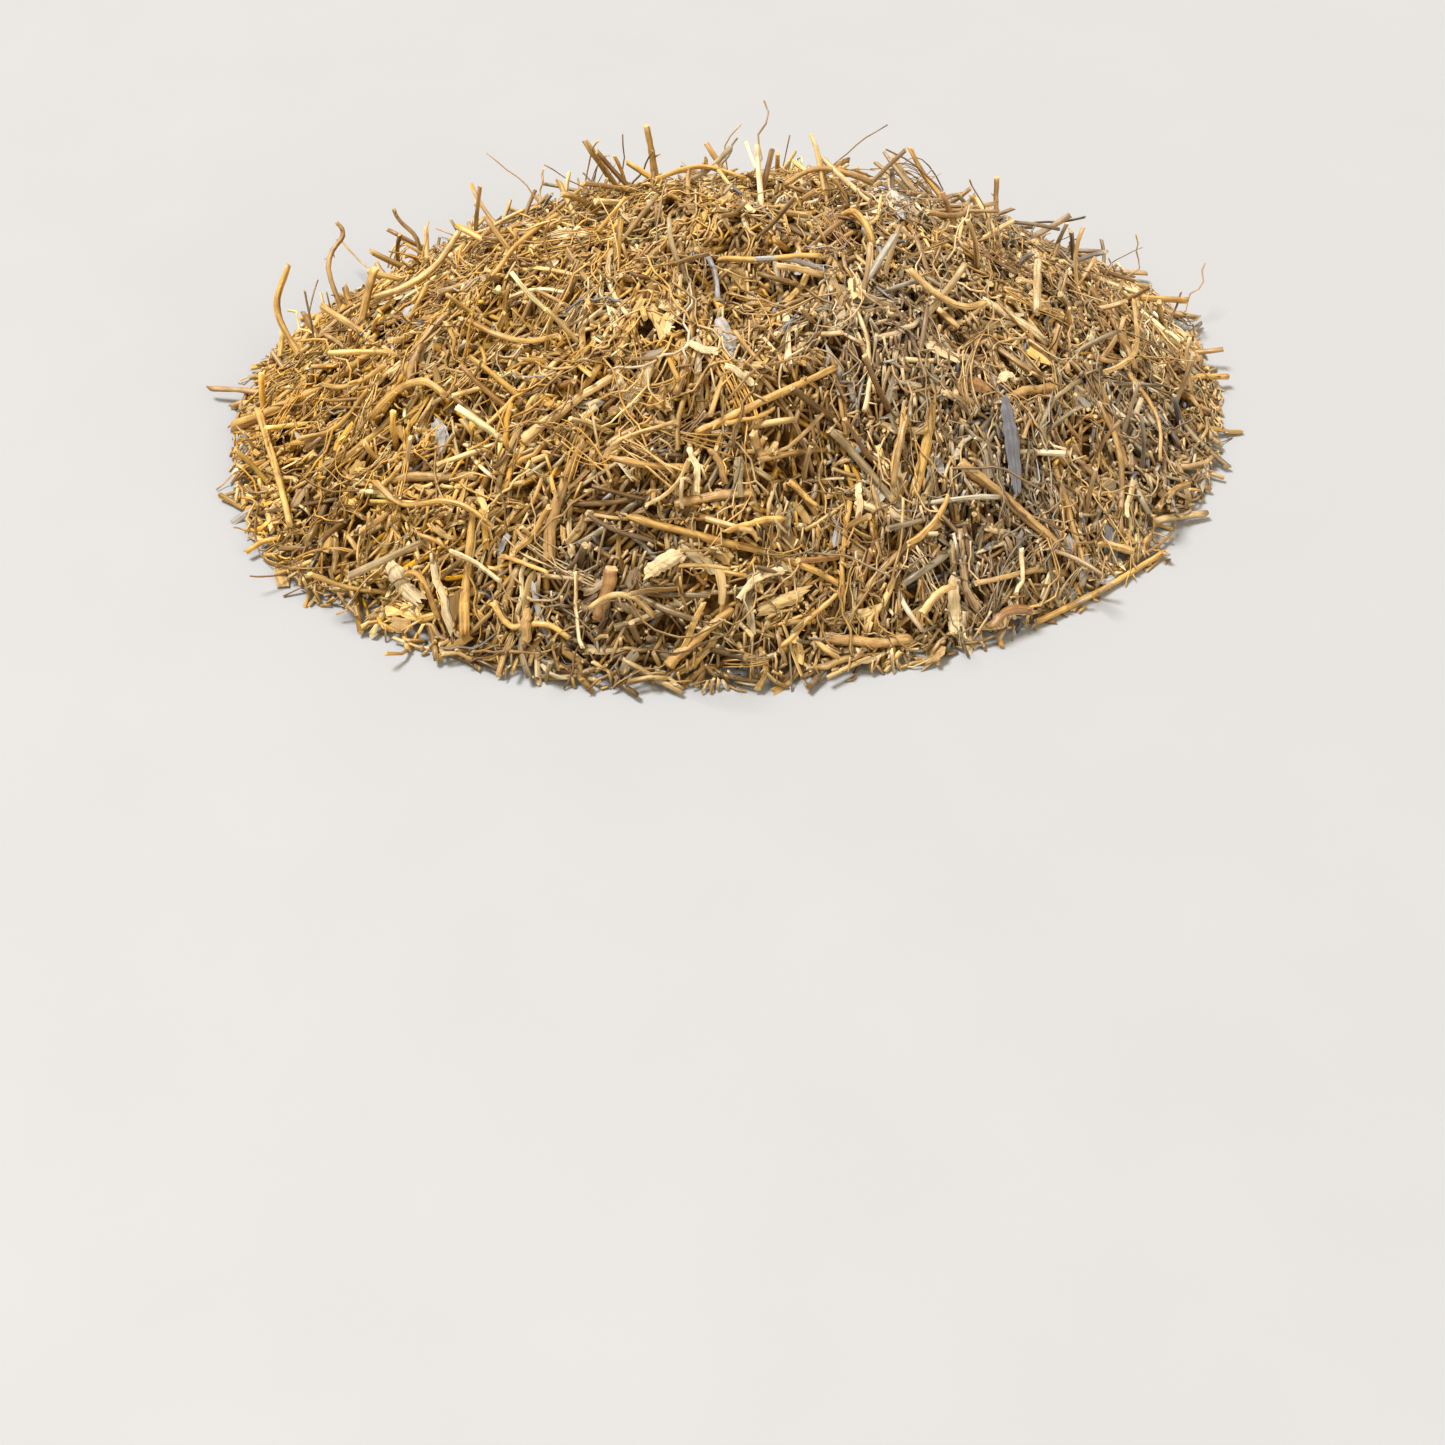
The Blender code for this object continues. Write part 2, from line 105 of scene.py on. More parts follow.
# In the tables below a place is x, y and its height above the bed's core in mm, left out where
# it is 0. A root's two diameters in mm are those of its thick and its thin end. The places run
# from one end to the other, and a piece is then shifted up or down until it rests on the core.
LONG_ROOTS = [
    (1.6, 1.0, [(-80, -7, 1), (-67, -7), (-55, -6)]),
    (1.2, 0.9, [(-75, -8, 1), (-70, -21), (-66, -32)]),
    (1.5, 1.1, [(-48, -18), (-47, -14, 1), (-43, -9, 1)]),
    (1.2, 0.9, [(-58, 8), (-50, 9), (-43, 14)]),
    (1.5, 1.3, [(-50, -30), (-43, -32), (-37, -34)]),
    (1.6, 0.9, [(-38, -52, 1), (-38, -45), (-37, -38, 1)]),
    (1.7, 1.2, [(-26, -45), (-25, -39), (-21, -33)]),
    (1.7, 1.0, [(-30, -32), (-24, -29), (-17, -25)]),
    (1.3, 1.1, [(-14, -10), (-11, -5), (-7, 1, 1)]),
    (1.2, 1.0, [(-8, -28, 1), (-6, -20), (-6, -12)]),
    (1.3, 1.0, [(-5, -33), (4, -30), (15, -24, 1)]),
    (1.2, 0.9, [(-14, -42), (-4, -44), (6, -45), (15, -48, 1)]),
    (1.3, 1.1, [(14, -31), (17, -33), (23, -38)]),
    (1.1, 0.9, [(18, -49), (23, -44), (30, -39)]),
    (1.5, 1.4, [(13, -53), (19, -53), (25, -52)]),
    (1.6, 1.3, [(33, -32), (40, -34), (48, -37)]),
    (1.1, 0.9, [(48, -27), (50, -32), (52, -38)]),
    (1.4, 0.9, [(54, -9), (57, -13), (60, -22)]),
    (1.3, 1.1, [(38, -6), (43, -7), (48, -9)]),
    (1.6, 1.4, [(49, -16), (45, -18), (41, -21)]),
    (1.0, 0.9, [(44, -47), (54, -41), (65, -33)]),
    (1.4, 1.2, [(-8, -41), (-3, -40), (3, -39)]),
    (1.5, 1.0, [(14, 38), (4, 40), (-6, 41)]),
    (1.3, 1.0, [(-30, 40), (-22, 43), (-12, 44)]),
    (1.6, 1.2, [(50, 21), (53, 27), (54, 34)]),
    (1.4, 1.1, [(-62, 22), (-56, 28), (-49, 34)]),
    (1.2, 0.9, [(20, 22), (27, 27), (34, 31)]),
    (1.5, 1.1, [(58, 11), (62, 5), (64, -3)]),
]
WIRY_ROOTS = [
    (0.9, 0.8, [(-18, -33), (-14, -31), (-10, -31), (-7, -34)]),
    (0.9, 0.8, [(-52, -32), (-46, -37), (-41, -38), (-34, -42)]),
    (0.9, 0.8, [(-34, -49), (-31, -52), (-28, -52), (-23, -54)]),
    (0.8, 0.8, [(18, -16, 1), (20, -21), (19, -28, 1)]),
    (0.8, 0.8, [(-18, -4, 1), (-18, -11), (-15, -18, 1)]),
    (1.0, 0.8, [(-61, -24), (-55, -23), (-50, -21)]),
    (0.9, 0.8, [(-20, 33), (-14, 36), (-6, 35)]),
    (0.9, 0.8, [(31, 41), (22, 43), (15, 46)]),
]
# Stem, then the free end of the side root, which starts inside the stem
FORKED_ROOTS = [
    (1.6, 1.0, [(-9, -57), (-5, -54), (0, -51)], (-4, -51, 3)),
    (1.5, 1.1, [(-44, 26), (-36, 29), (-28, 32)], (-33, 35, 3)),
]
ROOT_BASES = [
    (2.0, 1.7, [(-17, -47), (-18, -50), (-19, -52)]),
]
# Width at the middle and at the ends in mm, then the places of one end, middle and other end
SLIVERS = [
    (1.6, 1.2, [(29, -26, 1), (28, -31), (26, -37)]),
    (2.1, 1.5, [(-15, -29), (-13, -26), (-12, -23)]),
    (2.1, 1.7, [(-50, -41), (-48, -44), (-46, -46)]),
    (2.0, 1.3, [(-12, -48), (-10, -47), (-7, -46)]),
    (1.8, 1.5, [(4, -51), (7, -50), (10, -49)]),
    (1.9, 1.6, [(32, -45), (32, -48), (32, -50)]),
    (1.9, 1.4, [(-1, 29), (2, 32), (5, 36)]),
]
FLAKES = [
    (2.3, 1.1, [(40, -25, 2), (41, -29, 1), (42, -34)]),
    (2.2, 1.2, [(-44, -25, 1), (-43, -27), (-43, -29)]),
    (3.0, 1.6, [(-28, 4), (-25, 4), (-22, 3)]),
    (2.5, 1.4, [(-2, -17), (-1, -20), (0, -23)]),
    (2.7, 1.5, [(-40, 34), (-38, 37), (-36, 39)]),
]
BARK_CHIPS = [
    (2.6, 2.0, [(34, -21), (36, -21), (38, -21)]),
]
# Roots that stand out of the bed: diameter in mm, then the place where they leave the core
# and the corners of the free part
STRAYS = [
    (1.3, [(-12, 27), (-14, 31, 15)]),
    (1.0, [(-23, 27), (-25, 29, 5)]),
    (1.0, [(-1, 28), (-3, 30, 4)]),
    (1.0, [(9, 27), (16, 30, 5)]),
    (1.1, [(13, 27), (11, 28, 3)]),
    (1.0, [(45, 31), (45, 35, 11)]),
    (1.1, [(44, 32), (41, 35, 6)]),
    (1.3, [(64, 19), (77, 20, 7)]),
    (1.2, [(-70, 6), (-75, 12, 9), (-73, 17, 16)]),
    (1.4, [(-60, 1), (-57, 9, 8)]),
    (0.9, [(-64, 13), (-67, 19, 11), (-65, 24, 15), (-66, 25, 18)]),
    (0.8, [(-54, 24), (-53, 26, 5), (-56, 28, 12), (-57, 29, 15)]),
    (0.9, [(-74, 1), (-86, 3, 2)]),
    (1.2, [(-56, -2), (-66, 7, 8)]),
    (1.1, [(73, 4), (82, 6, 2)]),
    (1.0, [(-30, -48), (-33, -57, 1)]),
    (0.9, [(40, 38), (44, 48, 2)]),
    (1.1, [(-20, 43), (-25, 51, 1)]),
    (1.0, [(-68, 10), (-71, 13, 7)]),
    (1.1, [(-63, 15), (-65, 19, 6)]),
    (1.0, [(-57, 19), (-60, 23, 6)]),
    (0.9, [(-72, 3), (-76, 8, 5)]),
    (1.0, [(-50, 24), (-53, 27, 5)]),
]
STRAY_SINK = 4 * MM
STRAY_TAPER = 0.9

# More pieces that can be told apart, laid over the bed: diameter in mm, how flat, the colour
# that each leans to, and its x, y places in mm
LOOSE_PIECES = [
    (0.9, 1.0, "golden", [(-39, -14), (-33, -17), (-25, -21)]),
    (0.7, 1.0, "pale", [(-33, -9), (-28, -10), (-24, -11)]),
    (0.8, 1.0, "tan", [(-68, 12), (-66, 6), (-61, -3)]),
    (0.7, 1.0, "straw", [(-17, -35), (-14, -33), (-8, -33)]),
    (0.8, 1.0, "golden", [(-1, -33), (3, -32), (6, -30)]),
    (1.3, 0.4, "pale", [(-6, -22), (-4, -23), (-2, -24)]),
    (1.2, 0.4, "pale", [(-1, -26), (1, -27), (3, -28)]),
    (0.7, 1.0, "tan", [(-6, -27), (-4, -26), (-2, -25)]),
    (1.0, 1.0, "golden", [(17, 5), (19, 1), (21, -4)]),
    (0.6, 1.0, "straw", [(23, 9), (22, 4), (20, 0)]),
    (0.7, 1.0, "tan", [(10, -2), (10, -5), (10, -7)]),
    (0.8, 1.0, "tan", [(66, 22), (68, 19), (68, 16)]),
    (1.2, 0.8, "pale", [(48, 7), (47, 0), (46, -8)]),
    (0.8, 1.0, "grey", [(53, -13), (49, -18), (45, -24)]),
    (0.8, 1.0, "golden", [(25, -27), (24, -31), (23, -36)]),
    (1.6, 0.4, "pale", [(40, -19), (41, -18), (42, -18)]),
    (0.8, 1.0, "straw", [(65, 9), (64, -1), (57, -12)]),
    (1.0, 1.0, "golden", [(-1, -45), (3, -43), (7, -42)]),
    (1.0, 0.3, "pale", [(18, -37), (18, -39), (18, -41)]),
    (0.7, 1.0, "tan", [(6, -37), (9, -34), (13, -30)]),
    (1.0, 0.6, "pale", [(-6, -36), (-5, -38), (-5, -40)]),
    (0.7, 1.0, "pale", [(-7, -42), (-7, -40), (-6, -39)]),
    (1.1, 1.0, "tan", [(-3, -36), (-2, -37), (-1, -39)]),
    (1.5, 0.7, "grey", [(1, -36), (1, -37), (1, -39)]),
    (1.3, 0.8, "tan", [(3, -34), (4, -35), (6, -36)]),
    (0.8, 1.0, "straw", [(-20, -52), (-15, -52), (-11, -53)]),
    (0.5, 1.0, "pale", [(-19, -29), (-20, -31), (-19, -34)]),
    (0.9, 1.0, "tan", [(25, -29), (24, -33), (23, -37)]),
    (0.7, 1.0, "straw", [(-12, -42), (-8, -40), (-6, -38)]),
    (0.9, 1.0, "golden", [(8, -38), (10, -39), (12, -40)]),
    (1.0, 1.0, "golden", [(-31, -44), (-28, -42), (-26, -40)]),
    (0.8, 0.8, "pale", [(-40, -44), (-36, -45), (-33, -47)]),
    (1.4, 0.7, "tan", [(-29, -50), (-29, -52), (-29, -54)]),
    (0.6, 1.0, "pale", [(-22, -48), (-22, -51), (-21, -55)]),
    (0.8, 1.0, "golden", [(-33, -44), (-30, -45), (-26, -47)]),
    (0.8, 1.0, "golden", [(-47, -44), (-44, -47), (-42, -49)]),
    (0.8, 1.0, "golden", [(-53, -32), (-51, -31), (-49, -30)]),
    (0.9, 1.0, "tan", [(56, -15), (59, -21), (58, -33)]),
    (1.1, 0.3, "pale", [(61, -24), (60, -27), (59, -31)]),
    (1.1, 1.0, "tan", [(64, -29), (67, -25), (70, -22)]),
    (1.2, 1.0, "straw", [(54, -35), (57, -35), (60, -35)]),
    (1.0, 1.0, "golden", [(25, -43), (29, -40), (31, -37)]),
    (0.8, 1.0, "pale", [(42, -40), (42, -43), (41, -45)]),
    (1.3, 0.9, "orange", [(37, -50), (40, -48), (43, -47)]),
    (1.4, 0.8, "straw", [(27, -50), (29, -48), (32, -46)]),
    (1.3, 0.5, "pale", [(1, -50), (4, -48), (7, -47)]),
    (0.7, 1.0, "golden", [(7, -55), (11, -52), (15, -49)]),
    (1.0, 1.0, "straw", [(-56, 4), (-48, 5), (-43, 10)]),
    (0.9, 1.0, "golden", [(-66, -18), (-60, -19), (-55, -16)]),
    (0.9, 1.0, "golden", [(-64, -8), (-58, -14), (-52, -15)]),
    (1.1, 1.0, "golden", [(-54, -22), (-47, -20), (-42, -23)]),
    (0.8, 1.0, "straw", [(-70, 4), (-62, 9), (-55, 8)]),
    (0.9, 1.0, "golden", [(-36, -6), (-32, 2), (-27, 7)]),
    (0.8, 1.0, "straw", [(-46, 16), (-40, 13), (-33, 15)]),
    (1.0, 1.0, "tan", [(8, 10), (14, 14), (22, 15)]),
    (0.8, 1.0, "golden", [(-12, 14), (-5, 18), (2, 16)]),
    (0.9, 1.0, "tan", [(30, 6), (36, 11), (38, 18)]),
    (1.0, 1.0, "straw", [(26, -10), (33, -12), (38, -8)]),
    (0.8, 1.0, "tan", [(62, -6), (66, -12), (66, -19)]),
    (0.9, 1.0, "golden", [(-2, -8), (5, -11), (13, -10)]),
]

# The order of the materials on every piece
BARK, CUT, SPLIT, PAPER = range(4)
# Where a piece's sides start in its cell of the map and how large they are, and the middles and
# the reach of its two ends
SIDES_AT = (0.03, 0.06)
SIDES_SIZE = (0.75, 0.88)
ENDS_AT = ((0.89, 0.27), (0.89, 0.73))
ENDS_REACH = (0.07, 0.18)
# The colours of the pieces that can be told apart, in the order of their tables
LONG_COLOURS = [
    "golden", "golden", "tan", "straw", "tan", "golden", "tan", "straw", "tan", "tan",
    "golden", "golden", "grey", "tan", "tan", "tan", "tan", "tan", "pale", "tan",
    "golden", "tan", "golden", "tan", "tan", "golden", "tan", "tan",
]
WIRY_COLOURS = ["straw", "golden", "golden", "pale", "pale", "golden", "tan", "tan"]
SLIVER_COLOURS = ["golden", "pale", "pale", "pale", "straw", "pale", "straw"]
FLAKE_COLOURS = ["slate", "ash", "pale", "ash", "straw"]
# The kinds of pieces at fixed places: table, slot, colours, and a plate's thickness and the
# material of its sides
FIXED_KINDS = [
    ("long_root", LONG_ROOTS, "golden_root", LONG_COLOURS, 0, BARK),
    ("wiry_root", WIRY_ROOTS, "golden_root", WIRY_COLOURS, 0, BARK),
    ("root_base", ROOT_BASES, "red_brown_bark", ["orange"], 0, BARK),
    ("split_sliver", SLIVERS, "pale_split_wood", SLIVER_COLOURS, SLIVER_THICKNESS, SPLIT),
    ("bark_flake", FLAKES, "grey_bark", FLAKE_COLOURS, FLAKE_THICKNESS, PAPER),
    ("bark_chip", BARK_CHIPS, "red_brown_bark", ["orange"], CHIP_THICKNESS, SPLIT),
]
# How much likelier each colour is in some kinds
# Painted shade: the pieces laid deep, under the bed's roots, lean to brown and grey
DEEP_SHADE_LEAN = {"brown": 2.2, "grey": 1.6, "straw": 0.5, "pale": 0.3}
PALER = {"pale": 5.0, "straw": 2.0, "brown": 0.6}
SOUND = {"pale": 0.45}
PAPERY = {"ash": 25.0, "grey": 3.0, "pale": 2.0, "golden": 0.5, "slate": 15.0}
SHREDDED = {"golden": 1.6, "straw": 1.6, "brown": 0.4, "pale": 0.3}
WIRY = {"pale": 0.4, "straw": 0.7, "brown": 1.3}

# Laying the finer pieces, in mm: the grid, how far they may reach, and the bed's rough inside
CELL = 0.25
PILE_X = 90.0
PILE_Y = 66.0
REACH_X = 83.4
REACH_Y = (-60.0, 54.0)
TOP = 43.6
FLOOR = 0.03
FURTHEST_PIECE = (1.01, 1.075)
FURTHEST_SHRED = 1.02
FRINGE_SHARE = 0.03
INNER_DEPTH = 2.6
INNER_REACH = 0.95
INNER_SPOKES = 180
INNER_RINGS = 60
ROUGH_HEIGHT = 0.5
COARSE_WAVES = 5
FINE_WAVES = 2.2
FINE_SHARE = 0.7
ROUGH_WAVES = 24
LEAST_INNER = 0.15
# How a piece comes to rest: the spacing of the places looked at along it, how far to its sides
# it is held up and how much lower there, and how far it settles, sinks and rolls
STEP = 0.4
SIDE_CONTACT = 0.6
SIDE_THICKNESS = 0.8
SETTLED = 0.45
LAID_SINK = 0.3
LAID_ROLL = 25
LOOSE_SETTLED = 0.6
SHRED_SETTLED = 0.55
# The room kept beside and under a piece at a fixed place
ROOM_BESIDE = 0.9
ROOM_UNDER = 0.25
# How many pieces are drawn at once, and how many in all for each one that is wanted
BATCH = 120
MOST_TRIES = 4
# Standing pieces: how far over the bed's surface they fill it, how deep their feet are, and the
# share of the length by which they are moved out of it
STANDING_SLACK = 3.0
FOOT_DEPTH = 0.8
FOOT_SHARE = 0.4
# The bed's own roots: rings, bend and wave as shares of the length, and how round they look
BED_RINGS = 8
BED_BEND = 0.045
BED_WAVE = 0.02
ROUND_SHARE = 0.72
# Pieces laid one by one: the rings of a root and a plate, and how flat a split root is at most
LOOSE_RINGS = 18
PLATE_RINGS = 14
FLATTISH = 0.75
# Frayed bundles of strands
SHREDS = 60
SHRED_SLACK = 1.5
SHRED_RINGS = 9
SHRED_BEND = 0.06
SHRED_WAVE = 0.10
SHRED_SHIFT = 0.25
SHRED_LENGTH = (6.0, 13.0)
SHRED_RADIUS = (0.10, 0.19)
SHRED_STRANDS = (4, 9)
SHRED_GAP = 0.34
SHRED_FRAY = 0.045
# How most of the roots lie: the angle from +X in degrees at two places along X in mm
COMB_PLACES = (-40, 20)
COMB_ANGLES = (15, 90)
COMB_PULL = 0.4

# The picture, for a square frame
VIEW_TILT = 42
VIEW_ANGLE = 42
VIEW_DISTANCE = 308.6 * MM
VIEW_SHIFT = (-0.0066, -0.2163)
# Each light's strength, its width in the sky in degrees, where it shines from, and its colour
LIGHTS = {
    "Key light": (5.1, 18, (-0.26, 0.11, 0.62), (1.0, 0.97, 0.94)),
    "Fill light": (1.3, 40, (0.65, -0.40, 0.45), (1.0, 0.83, 0.60)),
}
WORLD_COLOUR = (1.0, 0.84, 0.59)
WORLD_STRENGTH = 0.76
FLOOR_COLOURS = ((0.31, 0.33, 0.365), (0.33, 0.35, 0.385))
FLOOR_HALF = 3.0

# Base colours of the pieces, and how common each is
COLOURS = {
    "golden": (0.60, 0.380, 0.115),
    "straw": (0.70, 0.50, 0.225),
    "tan": (0.46, 0.298, 0.120),
    "brown": (0.275, 0.163, 0.060),
    "grey": (0.35, 0.275, 0.160),
    "pale": (0.80, 0.65, 0.40),
    "orange": (0.36, 0.20, 0.08),
    "ash": (0.43, 0.415, 0.40),
    "slate": (0.165, 0.175, 0.215),
}
COMMON = {
    "golden": 0.24,
    "straw": 0.21,
    "tan": 0.24,
    "brown": 0.12,
    "grey": 0.09,
    "pale": 0.09,
    "orange": 0.015,
    "ash": 0.01,
    "slate": 0.002,
}
# x, y and radius in mm of small hollows in the bed, whose pieces are also coloured darker as
# painted shade, and of patches of greyer and paler roots
POCKETS = [
    (67, -26, 4), (-9, -52, 4), (-2, -56, 3), (13, -33, 4), (-21, -56, 3), (-57, -39, 4),
    (-13, -44, 4), (72, -4, 4), (-35, -52, 3), (-62, -30, 3), (-5, -30, 3), (6, -32, 3),
    (-20, 12, 4), (38, 26, 4), (-30, 33, 4), (8, 44, 4),
]
GREY_PATCHES = [
    (41, -31, 7), (33, -40, 6), (-20, -47, 6), (62, -14, 6), (26, 14, 6), (25, -18, 9),
    (-38, 30, 7), (50, 34, 8),
]
PALE_PATCHES = [
    (24, -54, 5), (-49, -44, 5), (26, 14, 6), (74, 20, 7), (-3, -48, 4), (10, 34, 6),
]
POCKET_DEPTH = 2.4
POCKET_FADE = 6
# How much likelier each colour is on the mound's left, and how strong and bright the colours are
# there, in the deep pieces, in pockets and in patches. The golden, richer left is partly the
# roots' own colour and partly painted warm light; the richer deep pieces and the darker pockets
# are painted shade; and the front is darkened with painted shade from some mm off the middle
LEFT_LEAN = {"golden": 1, "straw": 0.4, "grey": -1, "tan": -0.4, "pale": -0.4, "brown": 0.3}
RICHNESS = 1.01
DEEP_SHADE_RICHNESS = 0.22
LEFT_RICHNESS = 0.12
GREY_RICHNESS = -0.36
BRIGHTEST = 1.22
VALUE_SPREAD = 0.19
POCKET_SHADE = 0.28
GREY_SHADE = 0.06
PALE_SHADE = -0.14
TINT_SPREAD = 0.08
FRONT_SHADE = 0.28
FRONT_SHADE_FROM = 36
FRONT_SHADE_OVER = 20

# Kinds of finer pieces: length and radius in mm, how flat, rings and sides, and how bent, how
# ragged at the ends and how wrinkled
Kind = namedtuple("Kind", "length radius flat rings sides bend ragged wrinkle")
ROOT = Kind((5, 17), (0.28, 0.56), (0.8, 1.0), 6, 7, 0.10, 0.4, 0.07)
CHIP = Kind((1.5, 6.2), (0.15, 0.40), (0.55, 1.0), 3, 6, 0.08, 0.7, 0.12)
SLIVER = Kind((3, 9), (0.3, 0.65), (0.28, 0.5), 5, 6, 0.06, 1.5, 0.12)
FLAKE = Kind((2, 4.6), (0.6, 1.2), (0.10, 0.18), 4, 6, 0.08, 0.8, 0.15)
HAIR = Kind((5, 17), (0.10, 0.22), (0.9, 1.0), 9, 4, 0.20, 0.3, 0.0)
CRUMB = Kind((0.6, 1.8), (0.14, 0.34), (0.5, 1.0), 2, 5, 0.0, 0.6, 0.2)
# The layers under and over the bed's own roots, in the order in which they are laid: the kind,
# how many, how far over the bed's surface they fill it, and how far one may rise over it, in mm
LAYERS_UNDER = {
    "short_roots_under": (ROOT, 1100, -0.2, 1.6),
    "chips_under": (CHIP, 2500, -0.2, 1.6),
}
LAYERS_OVER = {
    "short_roots_over": (ROOT, 850, 0.5, 1.6),
    "split_slivers": (SLIVER, 650, 0.6, 1.8),
    "bark_flakes": (FLAKE, 260, 0.6, 1.8),
    "chips_over": (CHIP, 3600, 0.7, 1.8),
    "crumbs": (CRUMB, 6200, 0.8, 2.2),
}
CRUMB_DUST = 2.5
HAIR_LAYER = (HAIR, 850, 1.4, 3.5)
HAIR_DRAPE = 0.6
# Pieces that stand out of the bed: the kind, how many, and their slants in degrees
STANDING = {
    "chips_over": (CHIP, 260, (15, 70)),
    "hair_roots": (HAIR, 180, (10, 65)),
}
# The kind, slot, colours and other looks of each laid piece
LAID_PIECES = {
    "short_roots_under": (ROOT, "tan_cut_root", DEEP_SHADE_LEAN, {}),
    "short_roots_over": (ROOT, "tan_cut_root", SOUND, {}),
    "chips_under": (CHIP, "tan_cut_root", DEEP_SHADE_LEAN, {}),
    "chips_over": (CHIP, "tan_cut_root", {}, {}),
    "split_slivers": (SLIVER, "pale_split_wood", PALER, {"faces": (SPLIT, SPLIT), "smooth": False}),
    "bark_flakes": (
        FLAKE, "grey_bark", PAPERY, {"faces": (PAPER, PAPER), "arch": 0.15, "smooth": False},
    ),
    "hair_roots": (HAIR, "golden_root", WIRY, {}),
    "crumbs": (CRUMB, "tan_cut_root", {}, {}),
}


def edge_share(x, y):
    """How far (x, y) lies out from the mound's middle: 0 there, and 1 at its foot."""
    forward = SKEW * x - y
    depth, power = (FRONT_DEPTH, FRONT_POWER) if forward > 0 else (BACK_DEPTH, BACK_POWER)
    across = abs(2 * x / LENGTH) ** power
    along = abs(forward / depth) ** power
    return (across + along) ** (1 / power)


def core_height(x, y):
    """Height of the bed's core over (x, y): a flared dome with low lumps, and 0 beyond it."""
    share = edge_share(x, y)
    if share > 1:
        return 0.0
    dome = HEIGHT * (1 - share**DOME_POWER) ** FLARE_POWER
    turn = 2 * math.pi / LUMP_LENGTH
    lumps = math.sin(turn * x + LUMP_PHASE) * math.cos(LUMP_STRETCH * turn * y)
    cross = turn * (CROSS_LUMP_WAY[0] * x + CROSS_LUMP_WAY[1] * y)
    lumps += CROSS_LUMP_SHARE * math.sin(cross)
    return FOOT_RIM + dome + LUMP_HEIGHT * lumps * (1 - share**2)


def core_normal(x, y):
    """Outward normal of the core's surface over (x, y)."""
    step = 0.5 * MM
    slope_x = (core_height(x + step, y) - core_height(x - step, y)) / (2 * step)
    slope_y = (core_height(x, y + step) - core_height(x, y - step)) / (2 * step)
    return Vector((-slope_x, -slope_y, 1)).normalized()


def place(x, y, lift=0):
    """The point at x, y and a height above the core, all in mm."""
    x, y = x * MM, y * MM
    return Vector((x, y, core_height(x, y) + lift * MM))


def segment_gaps(start, end, starts, ends):
    """Distances from one straight segment to each of several."""
    one, others = end - start, ends - starts
    between = start - starts
    a = one @ one
    b = others @ one
    c = between @ one
    e = np.einsum("ij,ij->i", others, others)
    f = np.einsum("ij,ij->i", others, between)
    along = np.clip((b * f - c * e) / np.maximum(a * e - b * b, 1e-18), 0, 1)
    other_along = np.clip((b * along + f) / e, 0, 1)
    along = np.clip((b * other_along - c) / a, 0, 1)
    near = start + along[:, None] * one
    far = starts + other_along[:, None] * others
    return np.linalg.norm(near - far, axis=1)


class Placed:
    """The straight stretches placed so far, each with its radius."""

    def __init__(self):
        self.starts = np.zeros((0, 3))
        self.ends = np.zeros((0, 3))
        self.radii = np.zeros(0)

    def add(self, path, radius):
        for start, end in zip(path, path[1:]):
            self.starts = np.vstack([self.starts, np.array(start)])
            self.ends = np.vstack([self.ends, np.array(end)])
            self.radii = np.append(self.radii, radius)

    def clear_of(self, path, radius, gap):
        """Whether a path keeps this gap to every stretch placed."""
        for start, end in zip(path, path[1:]):
            found = segment_gaps(np.array(start), np.array(end), self.starts, self.ends)
            if (found < self.radii + radius + gap).any():
                return False
        return True


def smooth_path(anchors):
    """Points along the smooth curve through all the anchors (Lagrange's polynomial)."""
    last = len(anchors) - 1
    path = []
    for step in range(PATH_POINTS):
        t = last * step / (PATH_POINTS - 1)
        point = Vector((0, 0, 0))
        for i, anchor in enumerate(anchors):
            weight = 1.0
            for j in range(len(anchors)):
                if j != i:
                    weight *= (t - j) / (i - j)
            point += anchor * weight
        path.append(point)
    return path


def rested(path, radius):
    """The path shifted up or down until it just rests on the core, and above the floor."""
    rise = -math.inf
    for p in path:
        upright = max(LEAST_UPRIGHT, core_normal(p.x, p.y).z)
        rise = max(rise, core_height(p.x, p.y) + (radius + LOOSE_GAP) / upright - p.z)
    lowest = radius + FLOOR_GAP
    return [Vector((p.x, p.y, max(p.z + rise, lowest))) for p in path]


def lying_path(places, radius, placed):
    """Centre line through its places, resting on the core or on the pieces placed before."""
    path = rested(smooth_path([place(*p) for p in places]), radius)
    while not placed.clear_of(path, radius, LOOSE_GAP):
        path = [p + Vector((0, 0, LIFT_STEP)) for p in path]
    placed.add(path, radius)
    return path


def spot_on_bed(rng):
    """A place drawn evenly over the mound's plan."""
    while True:
        x = rng.uniform(-LENGTH / 2, LENGTH / 2)
        y = rng.uniform(-FRONT_DEPTH, BACK_DEPTH) + SKEW * x
        if edge_share(x, y) < FURTHEST_FOOT:
            return x, y


def bed_root(rng):
    """One drawn bed root: its sunk foot, its tip, its two radii and its turn."""
    x, y = spot_on_bed(rng)
    normal = core_normal(x, y)
    heading = rng.uniform(0, 2 * math.pi)
    flat = Vector((math.cos(heading), math.sin(heading), 0))
    along = (flat - normal * flat.dot(normal)).normalized()
    steep = rng.random() < STEEP_SHARE
    lift = math.radians(rng.uniform(*(STEEP_LIFT if steep else BED_LIFT)))
    way = along * math.cos(lift) + normal * math.sin(lift)
    length = rng.uniform(*BED_LENGTH) * (STEEP_LENGTH if steep else 1)
    radius = rng.uniform(*BED_RADIUS)
    tip_radius = radius * rng.uniform(*BED_TAPER)
    leaves = Vector((x, y, core_height(x, y)))
    foot = leaves - (normal + way) * BED_SINK
    tip = leaves + way * length
    lowest = radius + FLOOR_GAP
    foot.z = max(foot.z, lowest)
    tip.z = max(tip.z, lowest)
    return foot, tip, radius, tip_radius, rng.uniform(0, 360)


